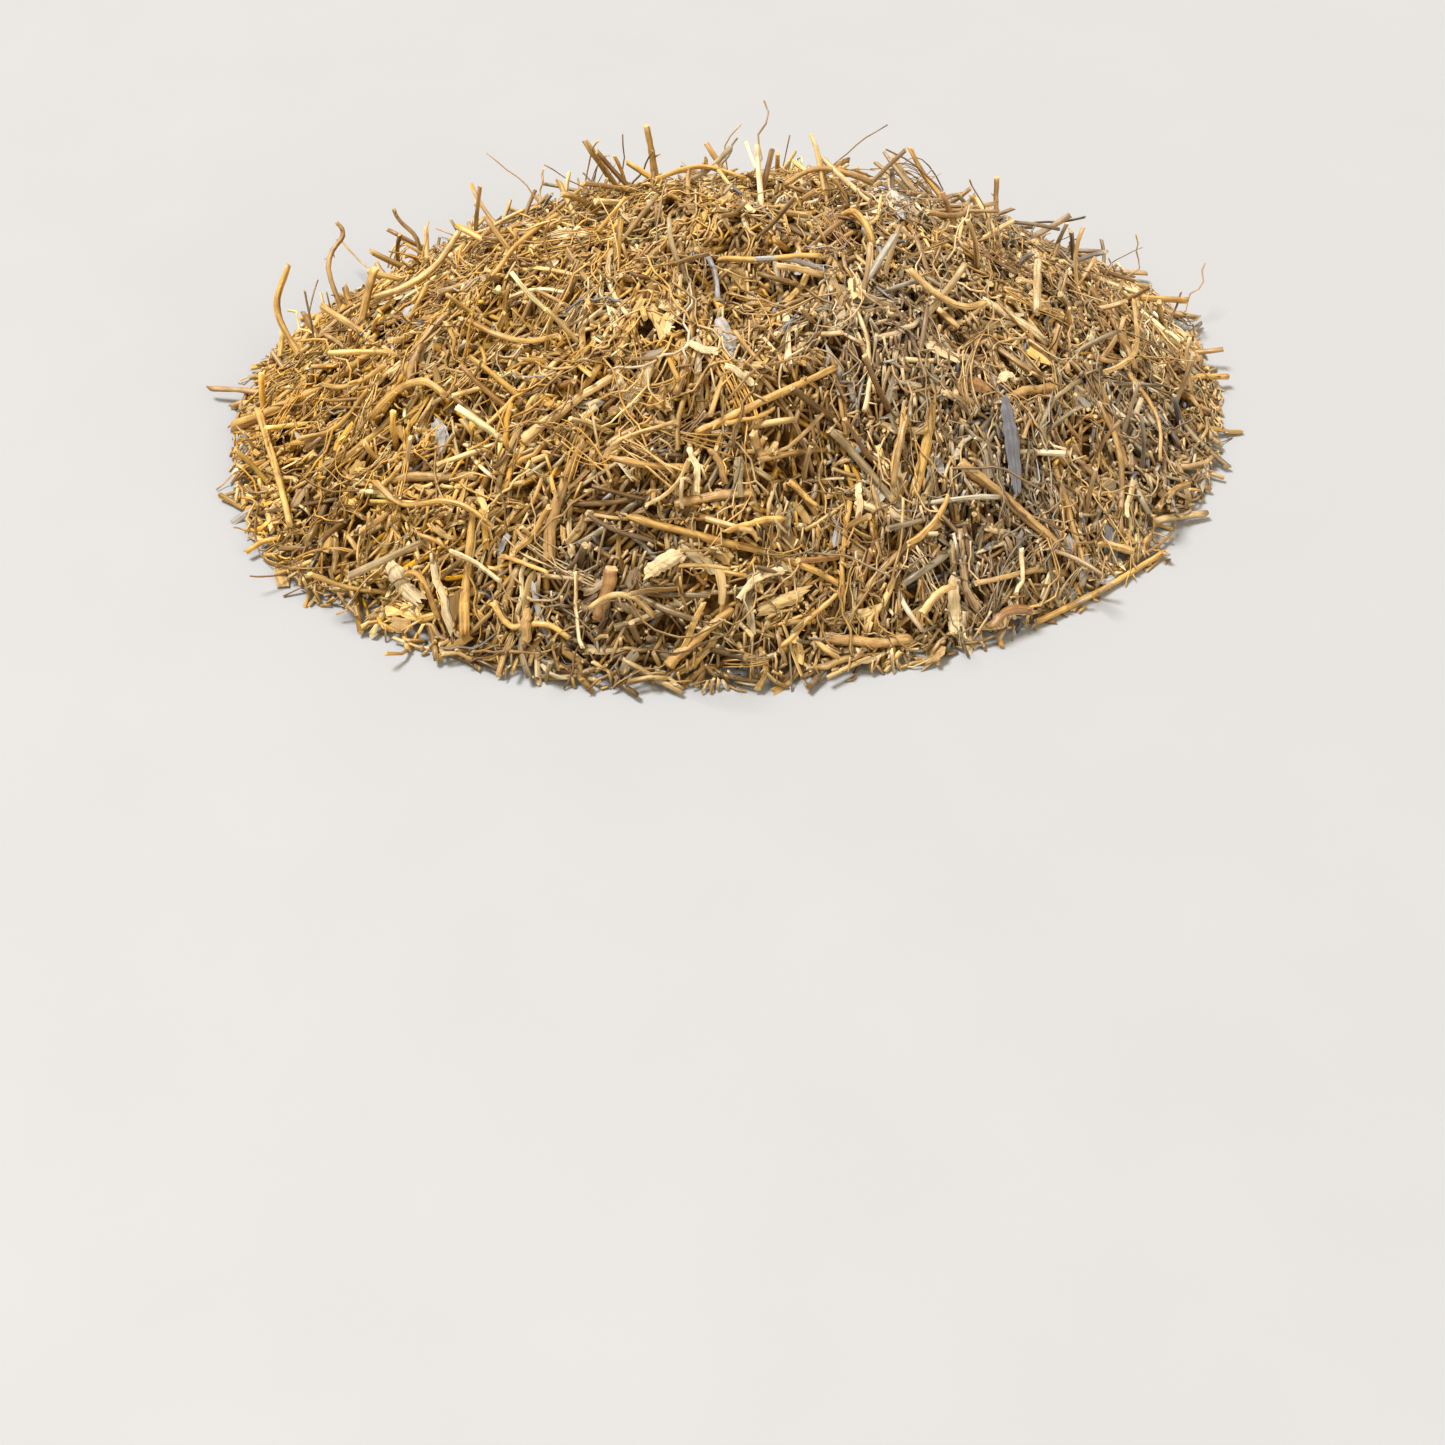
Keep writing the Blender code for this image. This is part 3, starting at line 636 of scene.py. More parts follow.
def bed_roots(placed):
    """The bed's cut roots, clear of each other outside the core and of the loose pieces."""
    rng = random.Random(SEED)
    bed = Placed()
    made = []
    for _ in range(BED_ROOTS):
        for _ in range(TRIES):
            root = bed_root(rng)
            foot, tip, radius = root[:3]
            if core_height(foot.x, foot.y) < foot.z + radius:
                continue
            if edge_share(tip.x, tip.y) > FURTHEST_TIP:
                continue
            if not placed.clear_of([foot, tip], radius, LOOSE_GAP):
                continue
            free = [foot.lerp(tip, FREE_FROM), tip]
            if bed.clear_of(free, radius, BED_GAP):
                bed.add(free, radius)
                made.append(root)
                break
    return made


def stray_corners(placed):
    """The corners of the roots that stand out of the bed, from their sunk feet."""
    found = []
    for diameter, places in STRAYS:
        radius = diameter * MM / 2
        corners = [place(*p) for p in places]
        corners[0] -= (corners[1] - corners[0]).normalized() * STRAY_SINK
        corners[0].z = max(corners[0].z, radius + FLOOR_GAP)
        placed.add(corners, radius)
        found.append(corners)
    return found


def edge_shares(x, y):
    """How far places in mm lie out from the mound's middle, as in edge_share."""
    forward = (SKEW * x - y) * MM
    front = forward > 0
    power = np.where(front, FRONT_POWER, BACK_POWER)
    across = np.abs(2 * x * MM / LENGTH) ** power
    along = np.abs(forward / np.where(front, FRONT_DEPTH, BACK_DEPTH)) ** power
    return (across + along) ** (1 / power)


def core_heights(x, y):
    """Heights of the bed's surface over places, all in mm, as in core_height."""
    share = np.minimum(edge_shares(x, y), 1)
    dome = HEIGHT / MM * (1 - share**DOME_POWER) ** FLARE_POWER
    turn = 2 * math.pi / LUMP_LENGTH * MM
    lumps = np.sin(turn * x + LUMP_PHASE) * np.cos(LUMP_STRETCH * turn * y)
    cross = turn * (CROSS_LUMP_WAY[0] * x + CROSS_LUMP_WAY[1] * y)
    lumps += CROSS_LUMP_SHARE * np.sin(cross)
    heights = FOOT_RIM / MM + dome + LUMP_HEIGHT / MM * lumps * (1 - share**2)
    fringe = np.clip(1 - (edge_shares(x, y) - 1) / FRINGE_SHARE, 0, 1)
    return heights * fringe


def nearness(x, y, patches):
    """How near places in mm are to some patches: 1 in the middle of one, and 0 far off."""
    found = np.zeros_like(x)
    for px, py, size in patches:
        found = np.maximum(found, np.exp(-((x - px) ** 2 + (y - py) ** 2) / (2 * size**2)))
    return found


def bed_heights(x, y):
    """Heights to which the bed is filled over places, all in mm: less so in its pockets."""
    depth = POCKET_DEPTH * np.clip(POCKET_FADE * (1 - edge_shares(x, y)), 0, 1)
    return np.maximum(core_heights(x, y) - depth * nearness(x, y, POCKETS), 0)


def core_slopes(x, y):
    """Outward unit normals of the bed's surface over places in mm."""
    step = 0.5
    slope_x = (core_heights(x + step, y) - core_heights(x - step, y)) / (2 * step)
    slope_y = (core_heights(x, y + step) - core_heights(x, y - step)) / (2 * step)
    normal = np.stack([-slope_x, -slope_y, np.ones_like(slope_x)], axis=-1)
    return normal / np.linalg.norm(normal, axis=-1, keepdims=True)


def waves(x, y, rng, length):
    """A smooth random field of about unit height over places in mm."""
    total = np.zeros_like(x)
    for _ in range(ROUGH_WAVES):
        heading = rng.uniform(0, 2 * math.pi)
        turn = 2 * math.pi / (length * rng.uniform(0.7, 1.6))
        phase = rng.uniform(0, 2 * math.pi)
        total += np.sin(turn * (x * math.cos(heading) + y * math.sin(heading)) + phase)
    return total * math.sqrt(2 / ROUGH_WAVES)


def inner_heights(x, y, rng):
    """The rough inside of the bed, which shows in the gaps and is coloured dark as painted shade.
    """
    smooth = bed_heights(x, y) - INNER_DEPTH
    rough = waves(x, y, rng, COARSE_WAVES) + FINE_SHARE * waves(x, y, rng, FINE_WAVES)
    return np.maximum(smooth + ROUGH_HEIGHT * rough, 0)


class Pile:
    """The top of what has been laid so far, as heights in mm on a grid over the plan."""

    def __init__(self):
        self.columns = round(2 * PILE_X / CELL) + 1
        self.rows = round(2 * PILE_Y / CELL) + 1
        x = np.linspace(-PILE_X, PILE_X, self.columns)
        y = np.linspace(-PILE_Y, PILE_Y, self.rows)
        self.x, self.y = np.meshgrid(x, y)
        self.target = bed_heights(self.x, self.y)
        self.height = inner_heights(self.x, self.y, np.random.default_rng(SEED))
        self.ceiling = np.full(self.height.shape, np.inf)
        self.dust = nearness(self.x, self.y, GREY_PATCHES)

    def cells(self, x, y):
        """The grid's rows and columns at places."""
        column = ((x + PILE_X) / CELL + 0.5).astype(int)
        row = ((y + PILE_Y) / CELL + 0.5).astype(int)
        return np.clip(row, 0, self.rows - 1), np.clip(column, 0, self.columns - 1)

    def low_places(self, count, rng, slack, dusty=0.0):
        """Places drawn where the top is furthest below the bed's surface plus the slack."""
        inside = self.target > 0
        need = np.where(inside, self.target + slack - self.height, 0).clip(0, 6)
        total = np.cumsum(need * (1 + dusty * self.dust))
        drawn = np.searchsorted(total, rng.uniform(0, total[-1], count))
        jitter = rng.uniform(-CELL, CELL, (2, count))
        return self.x.ravel()[drawn] + jitter[0], self.y.ravel()[drawn] + jitter[1]

    def supports(self, x, y, radius, thick):
        """Heights at which a piece's middle line would touch the top along its places."""
        side_x, side_y = sideways(x, y)
        found = self.height[self.cells(x, y)] + thick
        for sign in (-1, 1):
            beside = self.cells(
                x + sign * SIDE_CONTACT * radius * side_x,
                y + sign * SIDE_CONTACT * radius * side_y,
            )
            found = np.maximum(found, self.height[beside] + SIDE_THICKNESS * thick)
        return found

    def cover(self, x, y, z, radius, thick):
        """Raise the top over a piece that runs through these places."""
        side_x, side_y = sideways(x, y)
        steps = max(1, math.ceil(radius / CELL))
        share = np.linspace(-1, 1, 2 * steps + 1)[None, :]
        px = x[:, None] + side_x[:, None] * share * radius
        py = y[:, None] + side_y[:, None] * share * radius
        top = z[:, None] + thick * np.sqrt(1 - 0.9 * share**2)
        np.maximum.at(self.height, self.cells(px, py), top)

    def mark_above(self, x, y, z, radius):
        """Keep the room of a piece that lies at a fixed place, and fill the bed up to it."""
        side_x, side_y = sideways(x, y)
        for share in np.linspace(-1, 1, 7):
            reach = share * (radius + ROOM_BESIDE)
            cell = self.cells(x + side_x * reach, y + side_y * reach)
            self.target[cell] = np.maximum(self.target[cell], z - radius - ROOM_UNDER)
            cell = self.cells(x + side_x * share * radius, y + side_y * share * radius)
            self.ceiling[cell] = np.minimum(self.ceiling[cell], z - 0.6 * radius)


def sideways(x, y):
    """Unit plan vectors at right angles to a line through these places."""
    run_x, run_y = np.gradient(x), np.gradient(y)
    size = np.maximum(np.hypot(run_x, run_y), 1e-9)
    return -run_y / size, run_x / size


def dense(path):
    """Places spaced closely along a path."""
    path = np.asarray(path)
    runs = np.linalg.norm(np.diff(path, axis=0), axis=1)
    along = np.concatenate([[0], np.cumsum(runs)])
    wanted = np.linspace(0, along[-1], max(4, math.ceil(along[-1] / STEP) + 1))
    return np.stack([np.interp(wanted, along, path[:, i]) for i in range(3)], axis=1)


def at_rest(run, height):
    """A stiff line's rise over each place along it when it lies on its two best supports."""
    left, right = run <= 0, run > 0
    run_l, run_r = run[left][:, None], run[right][None, :]
    high_l, high_r = height[left][:, None], height[right][None, :]
    middle = (high_l * run_r - high_r * run_l) / (run_r - run_l)
    best = np.unravel_index(np.argmax(middle), middle.shape)
    rise = high_r[0, best[1]] - high_l[best[0], 0]
    slope = rise / (run_r[0, best[1]] - run_l[best[0], 0])
    return middle[best] + slope * run


def eased(run, height, share):
    """A pliant line's rise over each place along it, bent to what lies under it."""
    even = np.polyval(np.polyfit(run, height, 2), run)
    return even + share * (height - even).max()


def drawn_shapes(kind, count, rng):
    """Random measures and flat centre lines for some pieces of one kind."""
    low, high = np.log(kind.length)
    length = np.exp(rng.uniform(low, high, count))
    run = np.linspace(-0.5, 0.5, kind.rings)[None, :] * length[:, None]
    share = 2 * run / length[:, None]
    bend = rng.normal(0, kind.bend, count)[:, None] * length[:, None]
    wave = rng.normal(0, kind.bend / 4, count)[:, None] * length[:, None]
    phase = rng.uniform(0, 2 * math.pi, count)[:, None]
    offset = bend * (1 - share**2) + wave * np.sin(2.2 * math.pi * share + phase)
    return {
        "length": length,
        "run": run,
        "offset": offset,
        "radius": rng.uniform(*kind.radius, count),
        "flat": rng.uniform(*kind.flat, count),
        "heading": rng.uniform(0, 2 * math.pi, count),
        "furthest": rng.triangular(FURTHEST_PIECE[0], FURTHEST_PIECE[0], FURTHEST_PIECE[1], count),
    }


def combed(heading, x):
    """Headings turned partly towards the way in which most of the roots lie at these places."""
    main = np.radians(np.interp(x, COMB_PLACES, COMB_ANGLES))
    return heading - COMB_PULL / 2 * np.sin(2 * (heading - main))


def laid_piece(pile, shape, i, x, y, drape, most_rise):
    """One piece's centre line at rest on the pile, or None where there is no room for it."""
    run, offset = shape["run"][i], shape["offset"][i]
    turn_x, turn_y = math.cos(shape["heading"][i]), math.sin(shape["heading"][i])
    px = x + run * turn_x - offset * turn_y
    py = y + run * turn_y + offset * turn_x
    if np.abs(px).max() > REACH_X or py.min() < REACH_Y[0] or py.max() > REACH_Y[1]:
        return None
    if edge_shares(px, py).max() > shape["furthest"][i]:
        return None
    radius = shape["radius"][i]
    thick = radius * shape["flat"][i]
    dx, dy, along = dense(np.stack([px, py, run], axis=1)).T
    height = pile.supports(dx, dy, radius, thick)
    even = np.polyval(np.polyfit(along, height, 1), along)
    z = at_rest(along, height) * (1 - SETTLED) + even * SETTLED - LAID_SINK * thick
    if drape:
        near = np.convolve(np.pad(height, 2, mode="edge"), np.ones(5) / 5, "valid")
        z += drape * (near - z)
    row, column = pile.cells(dx, dy)
    if (z + thick > pile.ceiling[row, column]).any():
        return None
    if (z - thick - pile.target[row, column]).max() > most_rise:
        return None
    z = np.maximum(z, thick + 0.05)
    if z.max() + radius > TOP:
        return None
    pile.cover(dx, dy, z, radius, thick)
    return np.stack([px, py, np.interp(run, along, z)], axis=1)


def lay(pile, layer, rng, drape=0, dusty=0):
    """Lay the pieces of a layer on the pile's low places. Gives their lines and measures."""
    kind, count, slack, most_rise = layer
    paths, kept = [], {"radius": [], "flat": []}
    for _ in range(math.ceil(MOST_TRIES * count / BATCH)):
        if len(paths) >= count:
            break
        shape = drawn_shapes(kind, BATCH, rng)
        x, y = pile.low_places(BATCH, rng, slack, dusty)
        shape["heading"] = combed(shape["heading"], x)
        for i in range(BATCH):
            path = laid_piece(pile, shape, i, x[i], y[i], drape, most_rise)
            if path is not None:
                paths.append(path)
                for name in kept:
                    kept[name].append(shape[name][i])
    found = {name: np.array(values[:count]) for name, values in kept.items()}
    found["path"] = np.array(paths[:count])
    return found


def poked(pile, kind, count, slants, rng):
    """Pieces that stand out of the pile at a slant, with their feet in it."""
    shape = drawn_shapes(kind, count, rng)
    x, y = pile.low_places(count, rng, STANDING_SLACK)
    normal = core_slopes(x, y)
    heading = shape["heading"]
    flat = np.stack([np.cos(heading), np.sin(heading), np.zeros(count)], axis=1)
    along = flat - normal * (flat * normal).sum(axis=1)[:, None]
    along /= np.linalg.norm(along, axis=1)[:, None]
    slant = np.radians(rng.uniform(*slants, count))[:, None]
    way = along * np.cos(slant) + normal * np.sin(slant)
    side = np.cross(normal, way)
    foot = np.stack([x, y, pile.height[pile.cells(x, y)] - FOOT_DEPTH], axis=1)
    run = shape["run"] + shape["length"][:, None] * FOOT_SHARE
    path = foot[:, None] + way[:, None] * run[..., None]
    path += side[:, None] * shape["offset"][..., None]
    lowest = path[..., 2] - shape["radius"][:, None]
    path[..., 2] -= np.minimum(lowest, 0)
    inside = np.abs(path[..., 0]) < REACH_X
    inside &= (path[..., 1] > REACH_Y[0]) & (path[..., 1] < REACH_Y[1])
    inside &= path[..., 2] + shape["radius"][:, None] < TOP
    kept = inside.all(axis=1)
    return {"path": path[kept], **{name: shape[name][kept] for name in ("radius", "flat")}}


def shreds(pile, rng):
    """Frayed bundles of fine strands that lie side by side on the pile."""
    found = {"path": [], "radius": [], "flat": [], "bundle": []}
    x, y = pile.low_places(SHREDS, rng, SHRED_SLACK)
    share = np.linspace(-1, 1, SHRED_RINGS)
    for i in range(SHREDS):
        heading = rng.uniform(0, 2 * math.pi)
        way = np.array([math.cos(heading), math.sin(heading)])
        across = np.array([[-way[1]], [way[0]]])
        length = rng.uniform(*SHRED_LENGTH)
        bend = rng.normal(0, SHRED_BEND) * length * (1 - share**2)
        strands = rng.integers(*SHRED_STRANDS)
        for strand in range(strands):
            radius = rng.uniform(*SHRED_RADIUS)
            fray = rng.normal(0, SHRED_FRAY) * length * (0.5 + 0.5 * share) ** 2
            wave = rng.normal(0, SHRED_WAVE) * np.sin(rng.uniform(3, 7) * share)
            aside = bend + fray + wave + (strand - strands / 2) * SHRED_GAP
            run = (share + rng.uniform(-SHRED_SHIFT, SHRED_SHIFT)) * length / 2
            plan = [[x[i]], [y[i]]] + run * way[:, None] + aside * across
            if edge_shares(*plan).max() > FURTHEST_SHRED:
                continue
            height = pile.supports(*plan, radius, radius)
            z = eased(run, height, SHRED_SETTLED)
            if z.max() + radius > TOP:
                continue
            pile.cover(*plan, z, radius, radius)
            found["path"].append(np.stack([*plan, z], axis=1))
            found["radius"].append(radius)
            found["flat"].append(rng.uniform(0.6, 1.0))
            found["bundle"].append(i)
    return {name: np.array(values) for name, values in found.items()}


def shred_batch(laid, rng):
    """The tubes of the frayed bundles, each of one colour."""
    paths = laid["path"]
    leads = np.searchsorted(laid["bundle"], laid["bundle"])
    colour = tints(paths, rng, SHREDDED)[leads] * np.exp(rng.normal(0, 0.10, (len(paths), 1)))
    radii = ring_radii(laid["radius"], paths.shape[1], rng, (0.35, 0.8), 0.08)
    roll = surface_roll(paths, 20, rng)
    return tubes(paths, radii, 5, colour, rng, flat=laid["flat"], roll=roll, ragged=1.2)


def unit(vectors):
    """The vectors at length 1."""
    return vectors / np.maximum(np.linalg.norm(vectors, axis=-1, keepdims=True), 1e-9)


def cross_axes(paths, roll):
    """Ways along the paths, and the sideways and upward axes of their cross-sections."""
    way = unit(np.gradient(paths, axis=1))
    whole = unit(paths[:, -1] - paths[:, 0])
    steep = np.abs(whole[:, 2]) > 0.9
    guide = np.where(steep[:, None], [1.0, 0, 0], [0, 0, 1.0])[:, None]
    side = unit(np.cross(guide, way))
    up = np.cross(way, side)
    turn = roll[:, None, None]
    return (
        way,
        side * np.cos(turn) - up * np.sin(turn),
        side * np.sin(turn) + up * np.cos(turn),
    )


def surface_roll(paths, spread, rng):
    """Rolls that lay flat pieces on the bed's slope, give or take a spread in degrees."""
    middle = paths[:, paths.shape[1] // 2]
    normal = core_slopes(middle[:, 0], middle[:, 1])
    _, side, up = cross_axes(paths, np.zeros(len(paths)))
    centre = side.shape[1] // 2
    over = (normal * side[:, centre]).sum(axis=1)
    above = (normal * up[:, centre]).sum(axis=1)
    return np.arctan2(over, above) + np.radians(rng.normal(0, spread, len(paths)))


def tubes(paths, radii, sides, tint, rng, **looks):
    """Arrays of closed pieces along centre lines (n, k, 3) in mm, with radii (n, k).

    Looks: flat, the height of a cross-section as a share of its width; roll; wrinkle and
    ragged, the roughness of the sides and the ends; slant, how far the cuts are off square;
    arch, the rise of a flat piece's middle; faces, the materials of sides and cuts; and
    smooth, whether the sides are shaded round.
    """
    paths = np.asarray(paths, float)
    n, k = radii.shape
    flat = np.broadcast_to(looks.get("flat", 1.0), n)
    roll = np.broadcast_to(looks.get("roll", 0.0), n)
    wrinkle = looks.get("wrinkle", 0.06)
    way, side, up = cross_axes(paths, roll)
    spin = rng.uniform(0, 2 * math.pi, (n, 1)) * (flat > 0.7)[:, None]
    turn = spin + np.arange(sides) * 2 * math.pi / sides
    ridge = rng.normal(0, wrinkle, (n, 1, sides))
    bump = rng.normal(0, 0.6 * wrinkle, (n, k, sides))
    radial = radii[:, :, None] * (1 + ridge + bump).clip(0.4, 1.7)
    across = np.cos(turn)[:, None] * radial
    high = np.sin(turn)[:, None] * radial * flat[:, None, None]
    arch = looks.get("arch", 0.0) * radii[:, :, None]
    high += arch * (1 - np.cos(turn)[:, None] ** 2)
    points = paths[:, :, None] + side[:, :, None] * across[..., None]
    points += up[:, :, None] * high[..., None]
    cut_ends(points, radii, way, turn, rng, looks)
    caps = points[:, (0, k - 1)].mean(axis=2)
    verts = np.concatenate([points.reshape(n, k * sides, 3), caps], axis=1)
    verts[..., 2] = np.maximum(verts[..., 2], FLOOR)
    grain = grain_places(paths, across, high) + rng.uniform(0, 500, (n, 1, 3))
    shade = 1 + rng.normal(0, 0.05, (n, k * sides + 2, 1))
    shade[:, :-2] += np.repeat(rng.normal(0, 0.06, (n, k)), sides, axis=1)[..., None]
    colour = tint[:, None] * shade
    return {
        "verts": verts.reshape(-1, 3),
        "grain": grain.reshape(-1, 3),
        "tint": colour.reshape(-1, 3),
        "faces": looks.get("faces", (BARK, CUT)),
        "smooth": looks.get("smooth", True),
        **tube_faces(n, k, sides),
    }


def cut_ends(points, radii, way, turn, rng, looks):
    """Cut the first and last rings askew, and make them ragged."""
    n, sides = turn.shape
    last = radii.shape[1] - 1
    ragged, slant = looks.get("ragged", 0.4), looks.get("slant", 0.5)
    for end, ring in ((-1, 0), (1, last)):
        cut = slant * rng.normal(0, 1, (n, 1)) * np.cos(turn - rng.uniform(0, 6.3, (n, 1)))
        uneven = ragged * rng.uniform(-1, 1, (n, sides))
        reach = (cut + uneven) * radii[:, ring][:, None]
        points[:, ring] += end * way[:, ring][:, None] * reach[..., None]


def grain_places(paths, across, high):
    """Places along and across each piece, for its rings and then the middles of its ends."""
    steps = np.linalg.norm(np.diff(paths, axis=1), axis=2)
    run = np.concatenate([np.zeros((len(paths), 1)), np.cumsum(steps, axis=1)], axis=1)
    rings = np.stack([np.broadcast_to(run[:, :, None], across.shape), across, high], axis=-1)
    ends = np.zeros((len(paths), 2, 3))
    ends[:, 1, 0] = run[:, -1]
    return np.concatenate([rings.reshape(len(paths), -1, 3), ends], axis=1)


def tube_faces(n, k, sides):
    """The sides as four-cornered faces and the ends as fans, with their map places."""
    size = k * sides + 2
    ring = np.arange(k - 1)[:, None] * sides
    j = np.arange(sides)
    after = (j + 1) % sides
    quad = np.stack([ring + j, ring + after, ring + sides + after, ring + sides + j], -1)
    first = np.stack([np.full(sides, size - 2), after, j], -1)
    last_ring = (k - 1) * sides
    last = np.stack([np.full(sides, size - 1), last_ring + j, last_ring + after], -1)
    base = np.arange(n)[:, None, None] * size
    quads = quad.reshape(1, -1, 4) + base
    tris = np.concatenate([first, last])[None] + base

    length, width = SIDES_SIZE
    low = SIDES_AT[0] + length * np.arange(k - 1)[:, None] / (k - 1) + 0 * j
    high = low + length / (k - 1)
    left = SIDES_AT[1] + width * j / sides + 0 * ring
    right = left + width / sides
    quad_map = np.stack([low, left, low, right, high, right, high, left], -1)
    quad_map = quad_map.reshape(-1, 4, 2)
    turn = 2 * math.pi * j / sides
    around = np.stack([ENDS_REACH[0] * np.cos(turn), ENDS_REACH[1] * np.sin(turn)], -1)
    tri_map = []
    for centre, pair in zip(ENDS_AT, ((after, j), (j, after))):
        middle = np.broadcast_to(centre, (sides, 2))
        tri_map.append(np.stack([middle, middle + around[pair[0]], middle + around[pair[1]]], 1))
    tri_map = np.concatenate(tri_map)
    owner = np.arange(n)
    return {
        "count": n,
        "quads": quads.reshape(-1, 4),
        "tris": tris.reshape(-1, 3),
        "quad_map": np.broadcast_to(quad_map, (n, *quad_map.shape)).reshape(-1, 4, 2),
        "tri_map": np.broadcast_to(tri_map, (n, *tri_map.shape)).reshape(-1, 3, 2),
        "quad_owner": np.repeat(owner, quad_map.shape[0]),
        "tri_owner": np.repeat(owner, tri_map.shape[0]),
    }


def in_cells(places, owner, count):
    """Map places moved into their piece's own cell of a grid that fills the whole map."""
    columns = max(1, round(math.sqrt(count / 3)))
    rows = math.ceil(count / columns)
    cell = np.stack([owner % columns, owner // columns], -1)[:, None]
    return (places + cell) / np.array([columns, rows])


def face_arrays(batches, shape, side):
    """Corners, map places and materials of all the faces of one shape, quad or tri."""
    total = sum(batch["count"] for batch in batches)
    vert_base = owner_base = 0
    corners, places, kinds = [], [], []
    for batch in batches:
        owner = batch[shape + "_owner"] + owner_base
        corners.append((batch[shape + "s"] + vert_base).ravel())
        places.append(in_cells(batch[shape + "_map"], owner, total).reshape(-1, 2))
        kinds.append(np.full(len(owner), batch["faces"][side]))
        vert_base += len(batch["verts"])
        owner_base += batch["count"]
    return [np.concatenate(parts) for parts in (corners, places, kinds)]


def new_piece(name, batches, materials, replaced=()):
    """One object from batches of tubes, riding on the mound, with its maps and materials."""
    verts, grains, colours = (
        np.concatenate([batch[key] for batch in batches]) for key in ("verts", "grain", "tint")
    )
    quads, tris = face_arrays(batches, "quad", 0), face_arrays(batches, "tri", 1)
    corners, places, kinds = (np.concatenate(pair) for pair in zip(quads, tris))
    sizes = np.repeat([4, 3], [len(quads[2]), len(tris[2])])
    smooth = [np.full(len(batch["quads"]), batch["smooth"]) for batch in batches]
    smooth = np.concatenate([*smooth, np.zeros(len(tris[2]), bool)])
    mesh = bpy.data.meshes.new(name)
    mesh.vertices.add(len(verts))
    mesh.vertices.foreach_set("co", (verts * MM).ravel())
    mesh.loops.add(len(corners))
    mesh.loops.foreach_set("vertex_index", corners)
    mesh.polygons.add(len(sizes))
    mesh.polygons.foreach_set("loop_start", np.cumsum(sizes) - sizes)
    mesh.polygons.foreach_set("use_smooth", smooth)
    mesh.polygons.foreach_set("material_index", kinds)
    mesh.update(calc_edges=True)
    mesh.uv_layers.new(name="OFBake").uv.foreach_set("vector", places.ravel())
    grain = mesh.attributes.new("grain", "FLOAT_VECTOR", "POINT")
    grain.data.foreach_set("vector", grains.ravel())
    tint = mesh.attributes.new("tint", "FLOAT_COLOR", "POINT")
    opaque = np.ones((len(colours), 1))
    tint.data.foreach_set("color", np.concatenate([colours.clip(0, 1), opaque], axis=1).ravel())
    for material in materials:
        mesh.materials.append(material)
    return riding(name, mesh, replaced)


def linked(name, data):
    """A new object for some data, in the scene."""
    made = bpy.data.objects.new(name, data)
    bpy.context.scene.collection.objects.link(made)
    return made


def riding(name, mesh, replaced=()):
    """An object for a mesh that moves with the mound and stands for the named nodes."""
    obj = linked(name, mesh)
    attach(obj, "root")
    if replaced:
        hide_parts(*replaced)
    return obj


def tints(paths, rng, lean):
    """A base colour for each piece: golden and richer on the left, partly the roots' own colour and
    partly painted warm light; greyer to the right and in patches; with painted shade in the pockets
    and towards the front.
    """
    middle = np.asarray(paths)[:, len(paths[0]) // 2]
    x, y = middle[:, 0], middle[:, 1]
    names = list(COLOURS)
    weights = np.tile([COMMON[name] for name in names], (len(x), 1))
    patches = (POCKETS, GREY_PATCHES, PALE_PATCHES)
    dark, grey, pale = (nearness(x, y, rows) for rows in patches)
    # How far a piece lies to the left: colours lean golden and richer there, partly the roots' own
    # colour and partly painted warm light from the left
    left = np.clip((10 - x) / 80, -0.6, 1)
    for name, gain in LEFT_LEAN.items():
        weights[:, names.index(name)] *= 1 + 0.8 * (gain * left)
    # Colours lean to the patches: grey, ash and slate in grey patches, pale and straw in pale
    # patches, and brown in grey patches and in pockets, where it is painted shade
    for name, share in (
        ("grey", grey), ("brown", 0.5 * (grey + dark)), ("pale", pale), ("straw", pale),
        ("ash", 3 * grey), ("slate", 8 * grey), ("pale", -0.2 * grey),
    ):
        weights[:, names.index(name)] *= 1 + 3 * share
    for name, gain in lean.items():
        weights[:, names.index(name)] *= gain
    share = np.cumsum(weights, axis=1)
    drawn = rng.uniform(0, 1, len(x)) * share[:, -1]
    chosen = (share < drawn[:, None]).sum(axis=1)
    colour = np.array([COLOURS[name] for name in names])[chosen]
    value = np.exp(rng.normal(0, VALUE_SPREAD, len(x)) * (1 + 0.3 * left))
    # Painted shade in the pockets; grey patches a little darker and pale patches lighter
    shade = 1 - POCKET_SHADE * dark - GREY_SHADE * grey - PALE_SHADE * pale
    value = np.minimum(value, BRIGHTEST) * shade
    # Painted shade: the colours darken towards the front foot
    value *= 1 - FRONT_SHADE * np.clip((-y - FRONT_SHADE_FROM) / FRONT_SHADE_OVER, 0, 1)
    warmth = rng.normal(0, TINT_SPREAD, len(x))
    change = 1 + warmth[:, None] * np.array([0.5, 0.15, -1.0])
    colour = colour * value[:, None] * change
    even = colour.mean(axis=1, keepdims=True)
    strength = (RICHNESS + LEFT_RICHNESS * left + GREY_RICHNESS * grey)[:, None]
    # Painted shade: the deep pieces' colours are made richer, like the warm shade between pieces
    if lean is DEEP_SHADE_LEAN:
        strength += DEEP_SHADE_RICHNESS
    return (even + (colour - even) * strength).clip(0.01, 0.85)


def ring_radii(radius, rings, rng, taper=(0.7, 1.0), knob=0.06):
    """Radii along pieces that thin towards one end, with a little unevenness."""
    share = np.linspace(0, 1, rings)[None, :]
    end = rng.uniform(*taper, len(radius))[:, None]
    flip = rng.random(len(radius))[:, None] < 0.5
    along = np.where(flip, share, 1 - share)
    uneven = 1 + rng.normal(0, knob, (len(radius), rings))
    return radius[:, None] * (1 + (end - 1) * along) * uneven


